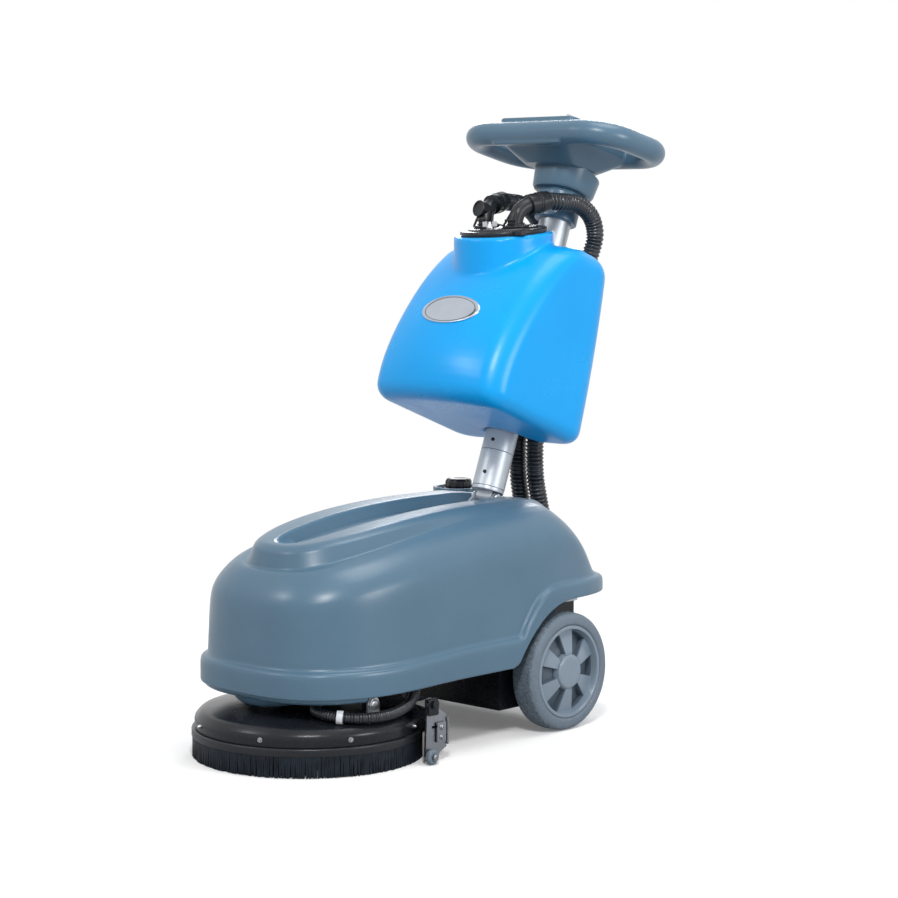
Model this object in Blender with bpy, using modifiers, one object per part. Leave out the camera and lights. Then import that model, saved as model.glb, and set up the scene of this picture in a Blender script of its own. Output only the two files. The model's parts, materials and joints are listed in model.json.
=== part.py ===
# Walk-behind floor scrubber: a round brush deck in front, two wheels behind, a leaning mast
# that carries the recovery tank and the handle.  Metres, +Z up, front towards -Y,
# the operator's left towards +X.  Lengths along Y are measured from the wheel axle,
# which lies AXLE_Y behind the origin.
import math

import bmesh
import bpy
import numpy as np
from mathutils import Matrix, Vector

GAP = 0.0003            # clearance between pieces that touch
AXLE_Y = 0.1497         # wheel axle, behind the middle of the machine

# Wheels
WHEEL_RADIUS = 0.100
WHEEL_WIDTH = 0.048
TRACK_HALF = 0.171      # middle of the machine to the middle of a wheel
RIM_RADIUS = 0.0785
HUB_RADIUS = 0.029
SPOKES = 6
WHEEL_STEPS = 24
AXLE_RADIUS = 0.010

# Body
BODY_HALF = 0.193
BODY_FRONT = 0.575      # ahead of the axle
BODY_TAIL = 0.155       # behind the axle
BODY_WALL = 0.004
BODY_CREST = 0.387      # height of the raised middle of the top
HEM_FRONT = 0.119       # height of the lower edge in front
HEM_CREEP = 0.005       # slow rise of that edge towards the wheels
HEM_ARCH = 0.098        # rise of that edge over the wheels
FLANGE = 0.041          # band along the lower edge
LEDGE_ARCH = 0.078      # rise of the band's upper edge over the wheels
CHANNEL_HALF = 0.050    # recess along the top
CHANNEL_DEPTH = 0.020
CHANNEL_FRONT = 0.480
COVER_WIDEST = -0.30    # where the cover's plan is widest
COVER_POWER = 2.9       # squareness of its nose
TAIL_POWER = 6.0        # and of its tail

# Housing on the tail that the hoses run into
HOUSING_HALF = 0.043
HOUSING_TOP = 0.306
HOUSING_BACK = 0.146
INLET_X = 0.0225
INLET_Y = 0.1275

# Filler, behind the mast on the operator's right
FILLER_X = -0.105
FILLER_Y = 0.045
FILLER_TOP = 0.380
FILLER_RADIUS = 0.045
FILLER_BORE = 0.026
FILLER_DEPTH = 0.119    # from the rim down to the water tank
CAP_RADIUS = 0.024
CAP_HEIGHT = 0.022

# Brush deck
WHEELBASE = 0.425       # axle to the middle of the brush
DECK_RADIUS = 0.183
DECK_WALL = 0.004
DECK_RIM_TOP = 0.069
DECK_TOP = 0.090
BAND_TOP = 0.0467       # strip that holds the skirt bristles
BRISTLE_TOP = 0.034
BRUSH_RADIUS = 0.163
MOTOR_RADIUS = 0.055
MOTOR_HEIGHT = 0.095
CONDUIT_RADIUS = 0.0085
PIVOT_Z = 0.100         # cross axis on which the deck rocks
PIVOT_X = 0.1475
PIVOT_PIN = 0.005

# Conduit from the brush motor, around the deck and up to the controller, from the deck's middle
CONDUIT = ((0.0498, -0.0249, 0.1060), (0.0626, -0.0313, 0.1045), (0.0780, -0.0540, 0.0990),
           (0.1010, -0.0790, 0.0945), (0.1330, -0.0780, 0.0910), (0.1550, -0.0600, 0.0885),
           (0.1700, -0.0360, 0.0870), (0.1780, 0.0010, 0.0870), (0.1740, 0.0420, 0.0910),
           (0.1670, 0.0700, 0.1010), (0.1600, 0.0880, 0.1220), (0.1570, 0.1120, 0.1400),
           (0.1520, 0.1360, 0.1445), (0.1420, 0.1500, 0.1450), (0.1256, 0.1500, 0.1450))
CONTROLLER_SIDE = 0.125

# Squeegee behind the brush
BLADE_RADIUS = 0.201    # middle of the front blade, around the brush axis
BLADE_WALL = 0.003
BLADE_TOP = 0.050
BEAM_WALL = 0.007
BEAM_BASE = 0.026
BEAM_TOP = 0.056
BLADE_START = 21.7      # degrees behind the cross axis
BEAM_START = 25.0
LIFT_Y = -0.345         # hinge on which the squeegee lifts
LIFT_Z = 0.095
ARM_X = 0.1975
ROLLER_RADIUS = 0.012
ROLLER_WIDTH = 0.010
ROLLER_Y = -0.350
ROLLER_Z = 0.0125

# Chassis
BAY_HALF = 0.134        # battery bay between the wheels
BAY_FRONT = -0.112
BAY_BACK = 0.080
BAY_BOTTOM = 0.041
BAY_TOP = 0.208
PLATE = 0.004
FLOOR_PLATE_Z = 0.122   # plate that carries the motors
FLOOR_PLATE_HALF = 0.143
COLUMN_HALF = 0.035
COLUMN_FRONT = -0.034
COLUMN_BACK = 0.024

# Mast: its own frame has its origin on the hinge and Z along the tube
LEAN = 20.8             # degrees to the rear
HINGE_Y = 0.002
HINGE_Z = 0.3815
TUBE_RADIUS = 0.0285
TUBE_WALL = 0.0025
EAR_X = 0.0205
EAR_WALL = 0.005
BASE_TOP = BODY_CREST - CHANNEL_DEPTH + 0.0033
COLLAR_BASE = 0.0085
SLEEVE_BASE = 0.0155    # lower end of the lower tube, along the mast
SEAM = 0.080            # where the lower tube ends and the upper one starts
TUBE_TOP = 0.565
SOCKET_BASE = 0.525
SOCKET_SKIRT = 0.020    # collar below the socket
HANDLE_RISE = 0.639     # middle of the handle, along the mast
HANDLE_SHIFT = -0.0255  # and ahead of the mast's axis
HANDLE_KEEL = 0.043     # underside of its middle, below the loop
HANDLE_TILT = 13.0      # degrees down towards the operator
HANDLE_WIDTH = 0.366
HANDLE_DEPTH = 0.223
HANDLE_TUBE = 0.0205
HANDLE_CORNER = 0.085
PANEL_Y = -0.052        # middle of the control panel, ahead of the handle's
PANEL_TOP = 0.030
CONTROLS = (("brush_button", -0.045), ("vacuum_button", 0.0))
KEY_X = 0.048
BUTTON_RADIUS = 0.009

# Recovery tank, measured along and across the mast
TANK_HALF = 0.1455
TANK_WALL = 0.0035
TANK_BASE = 0.114
TANK_CROWN = 0.437
TANK_FRONT = ((0.103, -0.190), (0.150, -0.2010), (0.200, -0.196), (0.248, -0.186),
              (0.293, -0.171), (0.335, -0.153), (0.373, -0.132), (0.409, -0.105),
              (0.437, -0.079))    # its front corners, by height along the mast
TANK_REAR = ((0.103, 0.061), (0.160, 0.059), (0.307, 0.043), (0.400, 0.028), (0.437, 0.022))
TANK_BOW = ((0.103, 0.018), (0.250, 0.026), (0.437, 0.026))    # swell of its front face
FRONT_CORNER = 0.034
REAR_CORNER = 0.045
BASE_ROUND = 0.024
CROWN_ROUND = 0.034
NECK_FOOT = 0.66        # where the neck ends inside the tank
NECK_Y = 0.045
NECK_RADIUS = 0.086
NECK_TOP = 0.834
NECK_TILT = 5.0         # degrees, front down
MOUTH_RADIUS = 0.066
POST_CLEARANCE = 0.004
LID_RADIUS = 0.0755
LID_WALL = 0.0065
GASKET = 0.002
ELBOW_RADIUS = 0.0175
HOSE_RADIUS = 0.0155
CLIP_Z = 0.600          # clip on the post that both hoses lie in
CLIP_HOSE_X = 0.0185
CLIP_HOSE_Y = 0.060     # behind the mast's axis
BADGE_HALF = 0.0645
BADGE_RISE = 0.0275
BADGE_ALONG = 0.272     # its middle, along the mast

# Left elbow, from the lid's middle; then the hose, over to the back of the tank and down to the
# clip on the post; then on from the clip to the housing on the tail
ELBOW = ((0.034, -0.006, 0.000), (0.034, -0.006, 0.010), (0.037, 0.002, 0.026),
         (0.042, 0.020, 0.035), (0.047, 0.040, 0.037))
UPPER_ROUTE = ((0.0600, 0.1250, 0.8890), (0.0640, 0.1650, 0.8850), (0.0640, 0.2000, 0.8660),
               (0.0610, 0.2180, 0.8350), (0.0540, 0.2160, 0.8000), (0.0420, 0.2010, 0.7500),
               (0.0300, 0.1820, 0.6900), (0.0200, 0.1620, 0.6300))
LOWER_ROUTE = ((0.0188, 0.1280, 0.5550), (0.0192, 0.1130, 0.5050), (0.0196, 0.1075, 0.4600),
               (0.0200, 0.1090, 0.4100), (0.0210, 0.1170, 0.3700), (0.0222, 0.1255, 0.3350))

DECK_Y = -WHEELBASE
PARTS = "floor_scrubber"
CUTTERS = "cutters"


# ---------------------------------------------------------------- helpers

def clear_scene():
    for thing in list(bpy.data.objects):
        bpy.data.objects.remove(thing, do_unlink=True)
    for name in (PARTS, CUTTERS):
        bpy.context.scene.collection.children.link(bpy.data.collections.new(name))


def paint(name, colour, roughness=0.5, metallic=0.0):
    material = bpy.data.materials.get(name)
    if material is None:
        material = bpy.data.materials.new(name)
        material.use_nodes = True
        shader = material.node_tree.nodes["Principled BSDF"]
        shader.inputs["Base Color"].default_value = (*colour, 1.0)
        shader.inputs["Roughness"].default_value = roughness
        shader.inputs["Metallic"].default_value = metallic
    return material


def materials():
    return {
        "body": paint("slate_plastic", (0.11, 0.19, 0.28), 0.5),
        "tank": paint("blue_plastic", (0.0, 0.35, 0.95), 0.4),
        "black": paint("black_plastic", (0.02, 0.02, 0.022), 0.45),
        "steel": paint("black_painted_steel", (0.015, 0.015, 0.017), 0.4),
        "zinc": paint("zinc_plated_steel", (0.62, 0.63, 0.64), 0.35, 1.0),
        "aluminium": paint("satin_aluminium", (0.75, 0.76, 0.78), 0.35, 1.0),
        "tyre": paint("grey_rubber", (0.10, 0.14, 0.18), 0.7),
        "hub": paint("hub_plastic", (0.13, 0.19, 0.25), 0.45),
        "rubber": paint("black_rubber", (0.02, 0.02, 0.02), 0.7),
        "blade": paint("clear_grey_rubber", (0.45, 0.42, 0.40), 0.4),
        "bristle": paint("black_bristle", (0.012, 0.014, 0.02), 0.7),
        "white": paint("white_plastic", (0.85, 0.86, 0.88), 0.5),
        "badge": paint("silver_plate", (0.60, 0.62, 0.66), 0.35, 1.0),
        "red": paint("red_plastic", (0.5, 0.02, 0.02), 0.4),
    }


def new_object(name, mesh, material=None, parent=None, location=(0, 0, 0), rotation=(0, 0, 0)):
    thing = bpy.data.objects.new(name, mesh)
    bpy.data.collections[PARTS].objects.link(thing)
    thing.parent = parent
    thing.location = location
    thing.rotation_euler = [math.radians(angle) for angle in rotation]
    if material is not None:
        mesh.materials.append(material)
    return thing


def mesh_from(bm, name):
    mesh = bpy.data.meshes.new(name)
    bm.to_mesh(mesh)
    bm.free()
    mesh.shade_smooth()
    mesh.set_sharp_from_angle(angle=math.radians(35))
    return mesh


def axis_empty(name, location, rotation=(0, 0, 0), parent=None):
    empty = bpy.data.objects.new(name, None)
    bpy.data.collections[PARTS].objects.link(empty)
    empty.parent = parent
    empty.location = location
    empty.rotation_euler = [math.radians(angle) for angle in rotation]
    return empty


def box(name, low, high, material=None, parent=None, bevel=0.0):
    low, high = Vector(low), Vector(high)
    bm = bmesh.new()
    bmesh.ops.create_cube(bm, size=1.0)
    bmesh.ops.scale(bm, vec=high - low, verts=bm.verts)
    thing = new_object(name, mesh_from(bm, name), material, parent, (low + high) / 2)
    if bevel:
        add_bevel(thing, bevel)
    return thing


def add_bevel(thing, width, segments=1):
    modifier = thing.modifiers.new("bevel", "BEVEL")
    modifier.width = width
    modifier.segments = segments
    modifier.limit_method = "ANGLE"


AXIS_TURN = {"X": (0, 90, 0), "Y": (-90, 0, 0), "Z": (0, 0, 0)}


def rod(name, radius, length, middle, axis="Z", material=None, parent=None, sides=24, bevel=0.0):
    bm = bmesh.new()
    bmesh.ops.create_cone(bm, cap_ends=True, segments=sides, radius1=radius, radius2=radius,
                          depth=length)
    thing = new_object(name, mesh_from(bm, name), material, parent, middle, AXIS_TURN[axis])
    if bevel:
        add_bevel(thing, bevel)
    return thing


# A profile of (radius, height) points, turned about Z.  It runs down the outer side.
def turned(name, profile, material=None, parent=None, location=(0, 0, 0), rotation=(0, 0, 0),
           steps=32, closed=True):
    bm = bmesh.new()
    points = [bm.verts.new((radius, 0.0, height)) for radius, height in profile]
    for first, second in zip(points, points[1:]):
        bm.edges.new((first, second))
    if closed:
        bm.edges.new((points[-1], points[0]))
    thing = new_object(name, mesh_from(bm, name), material, parent, location, rotation)
    screw = thing.modifiers.new("turn", "SCREW")
    screw.steps = steps
    screw.render_steps = steps
    screw.use_merge_vertices = True
    screw.merge_threshold = 0.00001
    return thing


def ring_profile(inner, outer, base, top):
    return [(outer, top), (outer, base), (inner, base), (inner, top)]


# Rings of equal count, counter-clockwise seen from above and listed upwards, skinned with quads.
def loft(rings, close_bottom=None, close_top=None):
    bm = bmesh.new()
    levels = [[bm.verts.new(point) for point in ring] for ring in rings]
    count = len(levels[0])
    for lower, upper in zip(levels, levels[1:]):
        for here in range(count):
            after = (here + 1) % count
            bm.faces.new((lower[here], lower[after], upper[after], upper[here]))
    if close_bottom == "face":
        bm.faces.new(list(reversed(levels[0])))
    if close_top == "face":
        bm.faces.new(levels[-1])
    if close_top == "across":
        close_across(bm, levels[-1])
    return bm


# The first point is on the middle plane, and the ring is symmetric about that plane.
def close_across(bm, ring):
    count = len(ring)
    for left in range(count // 2):
        right = (count - left) % count
        face = [ring[left], ring[left + 1], ring[count - left - 1], ring[right]]
        bm.faces.new(list(dict.fromkeys(face)))


def solidify(thing, wall):
    modifier = thing.modifiers.new("wall", "SOLIDIFY")
    modifier.thickness = wall
    modifier.offset = -1.0
    modifier.use_even_offset = True


def combine(thing, other, operation):
    for collection in list(other.users_collection):
        collection.objects.unlink(other)
    bpy.data.collections[CUTTERS].objects.link(other)
    other.hide_render = True
    other.display_type = "WIRE"
    modifier = thing.modifiers.new(operation.lower(), "BOOLEAN")
    modifier.operation = operation
    modifier.object = other
    modifier.solver = "EXACT"
    return thing


def cut(thing, *cutters):
    for cutter in cutters:
        combine(thing, cutter, "DIFFERENCE")
    return thing


def join(thing, *others):
    for other in others:
        combine(thing, other, "UNION")
    return thing


# Catmull-Rom curve through the points, sampled evenly by count in each stretch.
def smooth_path(points, samples):
    points = [Vector(point) for point in points]
    ends = [points[0] * 2 - points[1]] + points + [points[-1] * 2 - points[-2]]
    path = []
    for index in range(len(points) - 1):
        a, b, c, d = ends[index:index + 4]
        for step in range(samples):
            t = step / samples
            path.append(0.5 * (2 * b + (c - a) * t + (2 * a - 5 * b + 4 * c - d) * t * t
                               + (3 * b - a - 3 * c + d) * t ** 3))
    path.append(points[-1])
    return path


def tube(name, path, radius, material=None, parent=None, cyclic=False, resolution=3):
    curve = bpy.data.curves.new(name, "CURVE")
    curve.dimensions = "3D"
    curve.bevel_depth = radius
    curve.bevel_resolution = resolution
    curve.use_fill_caps = not cyclic
    spline = curve.splines.new("POLY")
    spline.points.add(len(path) - 1)
    for point, place in zip(spline.points, path):
        point.co = (*place, 1.0)
    spline.use_cyclic_u = cyclic
    thing = bpy.data.objects.new(name, curve)
    bpy.data.collections[PARTS].objects.link(thing)
    thing.parent = parent
    if material is not None:
        curve.materials.append(material)
    return thing


# The same tube as a mesh, for a piece that is cut or joined.
def tube_mesh(name, path, radius, material=None, parent=None, cyclic=False, resolution=3):
    thing = tube(name, path, radius, None, None, cyclic, resolution)
    evaluated = thing.evaluated_get(bpy.context.evaluated_depsgraph_get())
    mesh = bpy.data.meshes.new_from_object(evaluated)
    bpy.data.objects.remove(thing, do_unlink=True)
    bm = bmesh.new()
    bm.from_mesh(mesh)
    bmesh.ops.remove_doubles(bm, verts=bm.verts, dist=0.00001)
    bpy.data.meshes.remove(mesh)
    return new_object(name, mesh_from(bm, name), material, parent)


# A flat outline in the XY plane, drawn up from z = 0.
def prism(name, outline, height, material=None, parent=None, location=(0, 0, 0),
          rotation=(0, 0, 0)):
    bm = loft([[(x, y, 0.0) for x, y in outline], [(x, y, height) for x, y in outline]],
              "face", "face")
    return new_object(name, mesh_from(bm, name), material, parent, location, rotation)


def circle_points(radius, start, end, count, centre=(0.0, 0.0)):
    angles = [math.radians(start + (end - start) * step / (count - 1)) for step in range(count)]
    return [(centre[0] + radius * math.cos(a), centre[1] + radius * math.sin(a)) for a in angles]


# Part of a ring around Z: the (radius, height) section, clockwise seen from -Y,
# carried from one angle to the other.
def arc_solid(name, inner, outer, base, top, start, end, steps, material, parent, location):
    outline = circle_points(outer, start, end, steps) + circle_points(inner, end, start, steps)
    return prism(name, outline, top - base, material, parent,
                 (location[0], location[1], base + location[2]))


def smoothstep(value):
    value = min(max(value, 0.0), 1.0)
    return value * value * (3.0 - 2.0 * value)


# Half of an outline that is a superellipse in front of its widest place and another behind it.
# Points start at the middle of the rear and run to the middle of the front.
def egg_half(half, front, rear, widest, power_front, power_rear, count):
    points = []
    for step in range(count + 1):
        angle = math.pi * step / count
        side = abs(math.sin(angle))
        along = abs(math.cos(angle))
        behind = angle < math.pi / 2
        power = power_rear if behind else power_front
        reach = (rear - widest) if behind else (front - widest)
        points.append((half * side ** (2.0 / power), widest + reach * along ** (2.0 / power)))
    return points


def mirrored(half_points):
    left = [(-x, y) for x, y in half_points]
    right = [(x, y) for x, y in reversed(half_points[1:-1])]
    return left + right


# ---------------------------------------------------------------- wheels

def make_wheel(side, name, paints, root):
    centre = axis_empty(name + "_wheel_axis", (side * TRACK_HALF, 0, WHEEL_RADIUS),
                        (0, side * 90, 0), root)
    half = WHEEL_WIDTH / 2
    crown = 0.006
    tyre = [(RIM_RADIUS + GAP, half - 0.003), (RIM_RADIUS + 0.004, half),
            (WHEEL_RADIUS - crown, half), (WHEEL_RADIUS, half - crown),
            (WHEEL_RADIUS, -half + crown), (WHEEL_RADIUS - crown, -half),
            (RIM_RADIUS + 0.004, -half),
            (RIM_RADIUS + GAP, -half + 0.003)]
    turned(name + "_tyre", tyre, paints["tyre"], centre, steps=WHEEL_STEPS)

    lip = 0.006
    face = half - 0.004
    dish = 0.008
    bore = AXLE_RADIUS + GAP
    hub = [(bore, face), (HUB_RADIUS + 0.004, face), (HUB_RADIUS + 0.006, face - 0.003),
           (RIM_RADIUS - lip - 0.003, face - dish), (RIM_RADIUS - lip, half - 0.001),
           (RIM_RADIUS, half - 0.001), (RIM_RADIUS, -half + 0.001),
           (RIM_RADIUS - lip, -half + 0.001), (RIM_RADIUS - lip, -half + dish),
           (HUB_RADIUS, -half + dish), (HUB_RADIUS, -half + 0.001), (bore, -half + 0.001)]
    wheel_hub = turned(name + "_wheel_hub", hub, paints["hub"], centre, steps=WHEEL_STEPS)
    for number in range(SPOKES):
        cut(wheel_hub, spoke_pocket(name, number, centre, face, dish))

    turned(name + "_hub_cap", [(0.0, face + 0.004), (HUB_RADIUS - 0.003, face + 0.004),
                               (HUB_RADIUS, face + 0.002), (HUB_RADIUS, face + GAP),
                               (0.0, face + GAP)],
           paints["hub"], centre, steps=24, closed=False)


# A wedge-shaped hollow between two spokes, open to the outside of the wheel.
def spoke_pocket(name, number, centre, face, dish):
    middle = 360.0 * number / SPOKES + 90
    inner = HUB_RADIUS + 0.009
    outer = RIM_RADIUS - 0.010
    outline = circle_points(outer, middle - 19, middle + 19, 3)
    outline += circle_points(inner, middle + 15, middle - 15, 2)
    depth = 0.018
    return prism("%s_pocket_%d" % (name, number), outline, depth, None, centre,
                 (0, 0, face - dish - depth + 0.010))


def make_axle(paints, root):
    rod("wheel_axle", AXLE_RADIUS, 2 * (TRACK_HALF + WHEEL_WIDTH / 2 - 0.006),
        (0, 0, WHEEL_RADIUS), "X", paints["zinc"], root, 20)


# ---------------------------------------------------------------- body cover

# Share of the rise over the wheels: steep at first, then easing off.
def arch(y, start, length):
    along = min(max((y - start) / length, 0.0), 1.0)
    return 1.0 - (1.0 - along) ** 2.3


# Height of the lower edge of the cover: level in front, then up over the wheels.
def hem_height(y):
    creep = HEM_CREEP * smoothstep((y + 0.45) / 0.20)
    return HEM_FRONT + creep + HEM_ARCH * arch(y, -0.130, 0.150)


# Upper edge of the band that runs along the lower edge.
def ledge_height(y):
    creep = 0.010 * smoothstep((y + 0.45) / 0.25)
    return HEM_FRONT + FLANGE + creep + LEDGE_ARCH * arch(y, -0.115, 0.100)


# Heights along the top: level over the middle, falling to the nose and to the tail.
def crown_height(y, crest, nose_start, nose_drop, nose_power, tail_start, tail_drop):
    front = max(nose_start - y, 0.0) / (BODY_FRONT + nose_start)
    back = max(y - tail_start, 0.0) / (BODY_TAIL - tail_start)
    return crest - nose_drop * front ** nose_power - tail_drop * back ** 2


def plateau_height(y):
    return crown_height(y, BODY_CREST, -0.10, 0.060, 2.0, -0.03, 0.065)


def crease_height(y):
    return crown_height(y, BODY_CREST - 0.011, -0.05, 0.084, 1.7, -0.01, 0.090)


def shoulder_height(y):
    return crown_height(y, BODY_CREST - 0.055, 0.0, 0.070, 1.6, 0.0, 0.115)


def floor_height(y):
    return plateau_height(min(y, -0.03)) - CHANNEL_DEPTH


# Each level of the cover: half width, front, rear, and height as a function of y.
def cover_levels():
    half, front, tail = BODY_HALF, -BODY_FRONT, BODY_TAIL
    return [
        (half, front, tail, hem_height),
        (half, front, tail, lambda y: ledge_height(y) - 0.006),
        (half - 0.003, front + 0.003, tail - 0.003, ledge_height),
        (half - 0.010, front + 0.010, tail - 0.010, lambda y: ledge_height(y) + 0.004),
        (half - 0.015, front + 0.015, tail - 0.015,
         lambda y: max(shoulder_height(y) - 0.014, ledge_height(y) + 0.008)),
        (half - 0.022, front + 0.022, tail - 0.030,
         lambda y: max(shoulder_height(y) + 0.006, ledge_height(y) + 0.014)),
        (half - 0.037, front + 0.037, tail - 0.055, lambda y: shoulder_height(y) + 0.024),
        (half - 0.054, front + 0.054, tail - 0.082, lambda y: shoulder_height(y) + 0.037),
        (0.122, front + 0.062, tail - 0.090, crease_height),
        (0.111, front + 0.070, tail - 0.096, lambda y: plateau_height(y) - 0.007),
        (0.099, front + 0.080, tail - 0.104, plateau_height),
        (CHANNEL_HALF + 0.004, -CHANNEL_FRONT - 0.004, 0.042, plateau_height),
        (CHANNEL_HALF, -CHANNEL_FRONT, 0.038, lambda y: plateau_height(y) - 0.003),
        (CHANNEL_HALF - 0.009, -CHANNEL_FRONT + 0.020, 0.033, floor_height),
    ]


def make_body(paints, root):
    rings = []
    for half, front, rear, height in cover_levels():
        widest = COVER_WIDEST if half > 0.13 else COVER_WIDEST + 0.10
        outline = mirrored(egg_half(half, front, rear, widest, COVER_POWER, TAIL_POWER, 14))
        rings.append([(x, y, height(y)) for x, y in outline])
    bm = loft(rings, close_top="across")
    cover = new_object("body_cover", mesh_from(bm, "body_cover"), paints["body"], root)
    solidify(cover, BODY_WALL)
    cut(cover, rod("filler_hole", FILLER_RADIUS + GAP, 0.2, (FILLER_X, FILLER_Y, 0.36), "Z",
                   None, root, 28))
    join(cover, box("hose_housing", (-HOUSING_HALF, 0.084, BODY_CREST - 0.135),
                    (HOUSING_HALF, HOUSING_BACK, HOUSING_TOP), None, root))
    for side in (-1, 1):
        cut(cover, rod("hose_hole", HOSE_RADIUS - 0.003, 0.04, (side * INLET_X, INLET_Y,
                                                                HOUSING_TOP), "Z", None, root, 20))
    make_front_pan(paints, root)
    make_filler(paints, root)


# Front end of a superellipse, from its left at the cut to the middle and back on the right.
def nose_outline(half, front, widest, power, rear_cut, count):
    reach = front - widest
    start = math.acos(((rear_cut - widest) / reach) ** (power / 2.0))
    left = []
    for step in range(count + 1):
        angle = start * (1.0 - step / count)
        side = max(math.sin(angle), 0.0) ** (2.0 / power)
        left.append((-half * side, widest + reach * math.cos(angle) ** (2.0 / power)))
    return left + [(-x, y) for x, y in reversed(left[:-1])]


# Lower hull under the nose, with a bulge in the middle.
def make_front_pan(paints, root):
    rear_cut = DECK_Y - 0.060
    rings = []
    for inset, height in ((0.062, 0.1080), (0.040, 0.1090), (0.020, 0.1135), (0.009, 0.1215)):
        outline = nose_outline(BODY_HALF - inset, -BODY_FRONT + inset, COVER_WIDEST, COVER_POWER,
                               rear_cut, 10)
        rings.append([(x, y, height) for x, y in outline])
    bm = loft(rings, "face", "face")
    pan = new_object("front_pan", mesh_from(bm, "front_pan"), paints["body"], root)
    bulge = []
    for half, front, height in ((0.045, -0.546, 0.0955), (0.060, -0.552, 0.0985),
                                (0.075, -0.556, 0.1085)):
        outline = nose_outline(half, front, rear_cut + 0.010, 2.6, rear_cut - 0.004, 7)
        bulge.append([(x, y, height) for x, y in outline])
    lump = loft(bulge, "face", "face")
    join(pan, new_object("pan_bulge", mesh_from(lump, "pan_bulge"), None, root))


def make_filler(paints, root):
    base = FILLER_TOP - FILLER_DEPTH
    profile = [(FILLER_BORE, FILLER_TOP), (FILLER_RADIUS - 0.003, FILLER_TOP),
               (FILLER_RADIUS, FILLER_TOP - 0.003), (FILLER_RADIUS, base), (FILLER_BORE, base)]
    turned("filler_neck", profile, paints["body"], root, (FILLER_X, FILLER_Y, 0), steps=24)
    axis = axis_empty("fill_cap_axis", (FILLER_X, FILLER_Y, FILLER_TOP + GAP), parent=root)
    cap = [(0.0, CAP_HEIGHT), (CAP_RADIUS - 0.003, CAP_HEIGHT), (CAP_RADIUS, CAP_HEIGHT - 0.003),
           (CAP_RADIUS, 0.005), (CAP_RADIUS + 0.006, 0.004), (CAP_RADIUS + 0.006, 0.0),
           (FILLER_BORE - GAP, 0.0), (FILLER_BORE - GAP, -0.012), (0.0, -0.012)]
    turned("fill_cap", cap, paints["black"], axis, steps=20, closed=False)


# ---------------------------------------------------------------- chassis

def make_chassis(paints, root):
    bay = box("chassis_frame", (-BAY_HALF, BAY_FRONT, BAY_BOTTOM),
              (BAY_HALF, BAY_BACK, BAY_TOP), paints["steel"], root)
    cut(bay, box("bay_inside", (-BAY_HALF + PLATE, BAY_FRONT + PLATE, BAY_BOTTOM + PLATE),
                 (BAY_HALF - PLATE, BAY_BACK + 0.01, BAY_TOP - PLATE), None, root))
    front = DECK_Y - 0.016
    plate_top = FLOOR_PLATE_Z + PLATE
    join(bay, box("floor_plate", (-FLOOR_PLATE_HALF, front, FLOOR_PLATE_Z),
                  (FLOOR_PLATE_HALF, BAY_FRONT + 0.002, plate_top), None, root))
    for side in (-1, 1):
        join(bay, box("pan_rail", (min(side * 0.085, side * 0.120), DECK_Y - 0.075, FLOOR_PLATE_Z),
                      (max(side * 0.085, side * 0.120), front + 0.001, plate_top), None, root))
        inner = side * (PIVOT_X - 0.0085)
        outer = side * (PIVOT_X - 0.0045)
        low = (min(inner, outer), DECK_Y - 0.016, PIVOT_Z - 0.012)
        high = (max(inner, outer), DECK_Y + 0.016, FLOOR_PLATE_Z + 0.001)
        join(bay, box("deck_lug", low, high, None, root))
    join(bay, box("mast_column", (-COLUMN_HALF, COLUMN_FRONT, BAY_TOP - 0.001),
                  (COLUMN_HALF, COLUMN_BACK, BODY_CREST - CHANNEL_DEPTH - BODY_WALL - GAP),
                  None, root))
    cut(bay, rod("motor_hole", MOTOR_RADIUS + 0.012, 0.05, (0, DECK_Y, FLOOR_PLATE_Z), "Z",
                 None, root, 32))
    cut(bay, rod("axle_hole", AXLE_RADIUS + GAP, 0.4, (0, 0, WHEEL_RADIUS), "X", None, root, 20))
    cut(bay, rod("pivot_hole", PIVOT_PIN + GAP, 0.4, (0, DECK_Y, PIVOT_Z), "X", None, root, 16))
    cut(bay, box("column_inside", (-COLUMN_HALF + PLATE, COLUMN_FRONT + PLATE, BAY_TOP + 0.004),
                 (COLUMN_HALF + 0.02, COLUMN_BACK - PLATE, BODY_CREST - 0.05), None, root))

    box("battery", (-BAY_HALF + PLATE + 0.010, BAY_FRONT + PLATE + 0.002,
                    BAY_BOTTOM + PLATE + GAP),
        (BAY_HALF - PLATE - 0.010, -AXLE_RADIUS - 0.004, BAY_TOP - PLATE - 0.012),
        paints["black"], root, 0.003)
    box("motor_controller", (0.055, -0.300, plate_top + GAP),
        (CONTROLLER_SIDE, -0.200, plate_top + 0.034),
        paints["black"], root, 0.002)
    vacuum = [(0.0, 0.085), (0.040, 0.085), (0.042, 0.050), (0.062, 0.046), (0.062, 0.0),
              (0.0, 0.0)]
    turned("vacuum_motor", vacuum, paints["black"], root, (-0.040, -0.235, plate_top + GAP),
           steps=20, closed=False)
    make_clean_tank(paints, root)
    for side, name in ((1, "left"), (-1, "right")):
        make_pivot_pin(side, name, paints, root)


# The pin is pressed through the chassis lug and the deck's ear, with its head outside.
def make_pivot_pin(side, name, paints, root):
    inner = PIVOT_X - 0.013
    outer = PIVOT_X + 0.0022
    pin = [(0.0, outer + 0.004), (0.0085, outer + 0.004), (0.0085, outer), (PIVOT_PIN, outer),
           (PIVOT_PIN, inner), (0.0, inner)]
    turned(name + "_pivot_pin", pin, paints["zinc"], root, (0, DECK_Y, PIVOT_Z),
           (0, side * 90, 0), 20, False)


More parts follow.
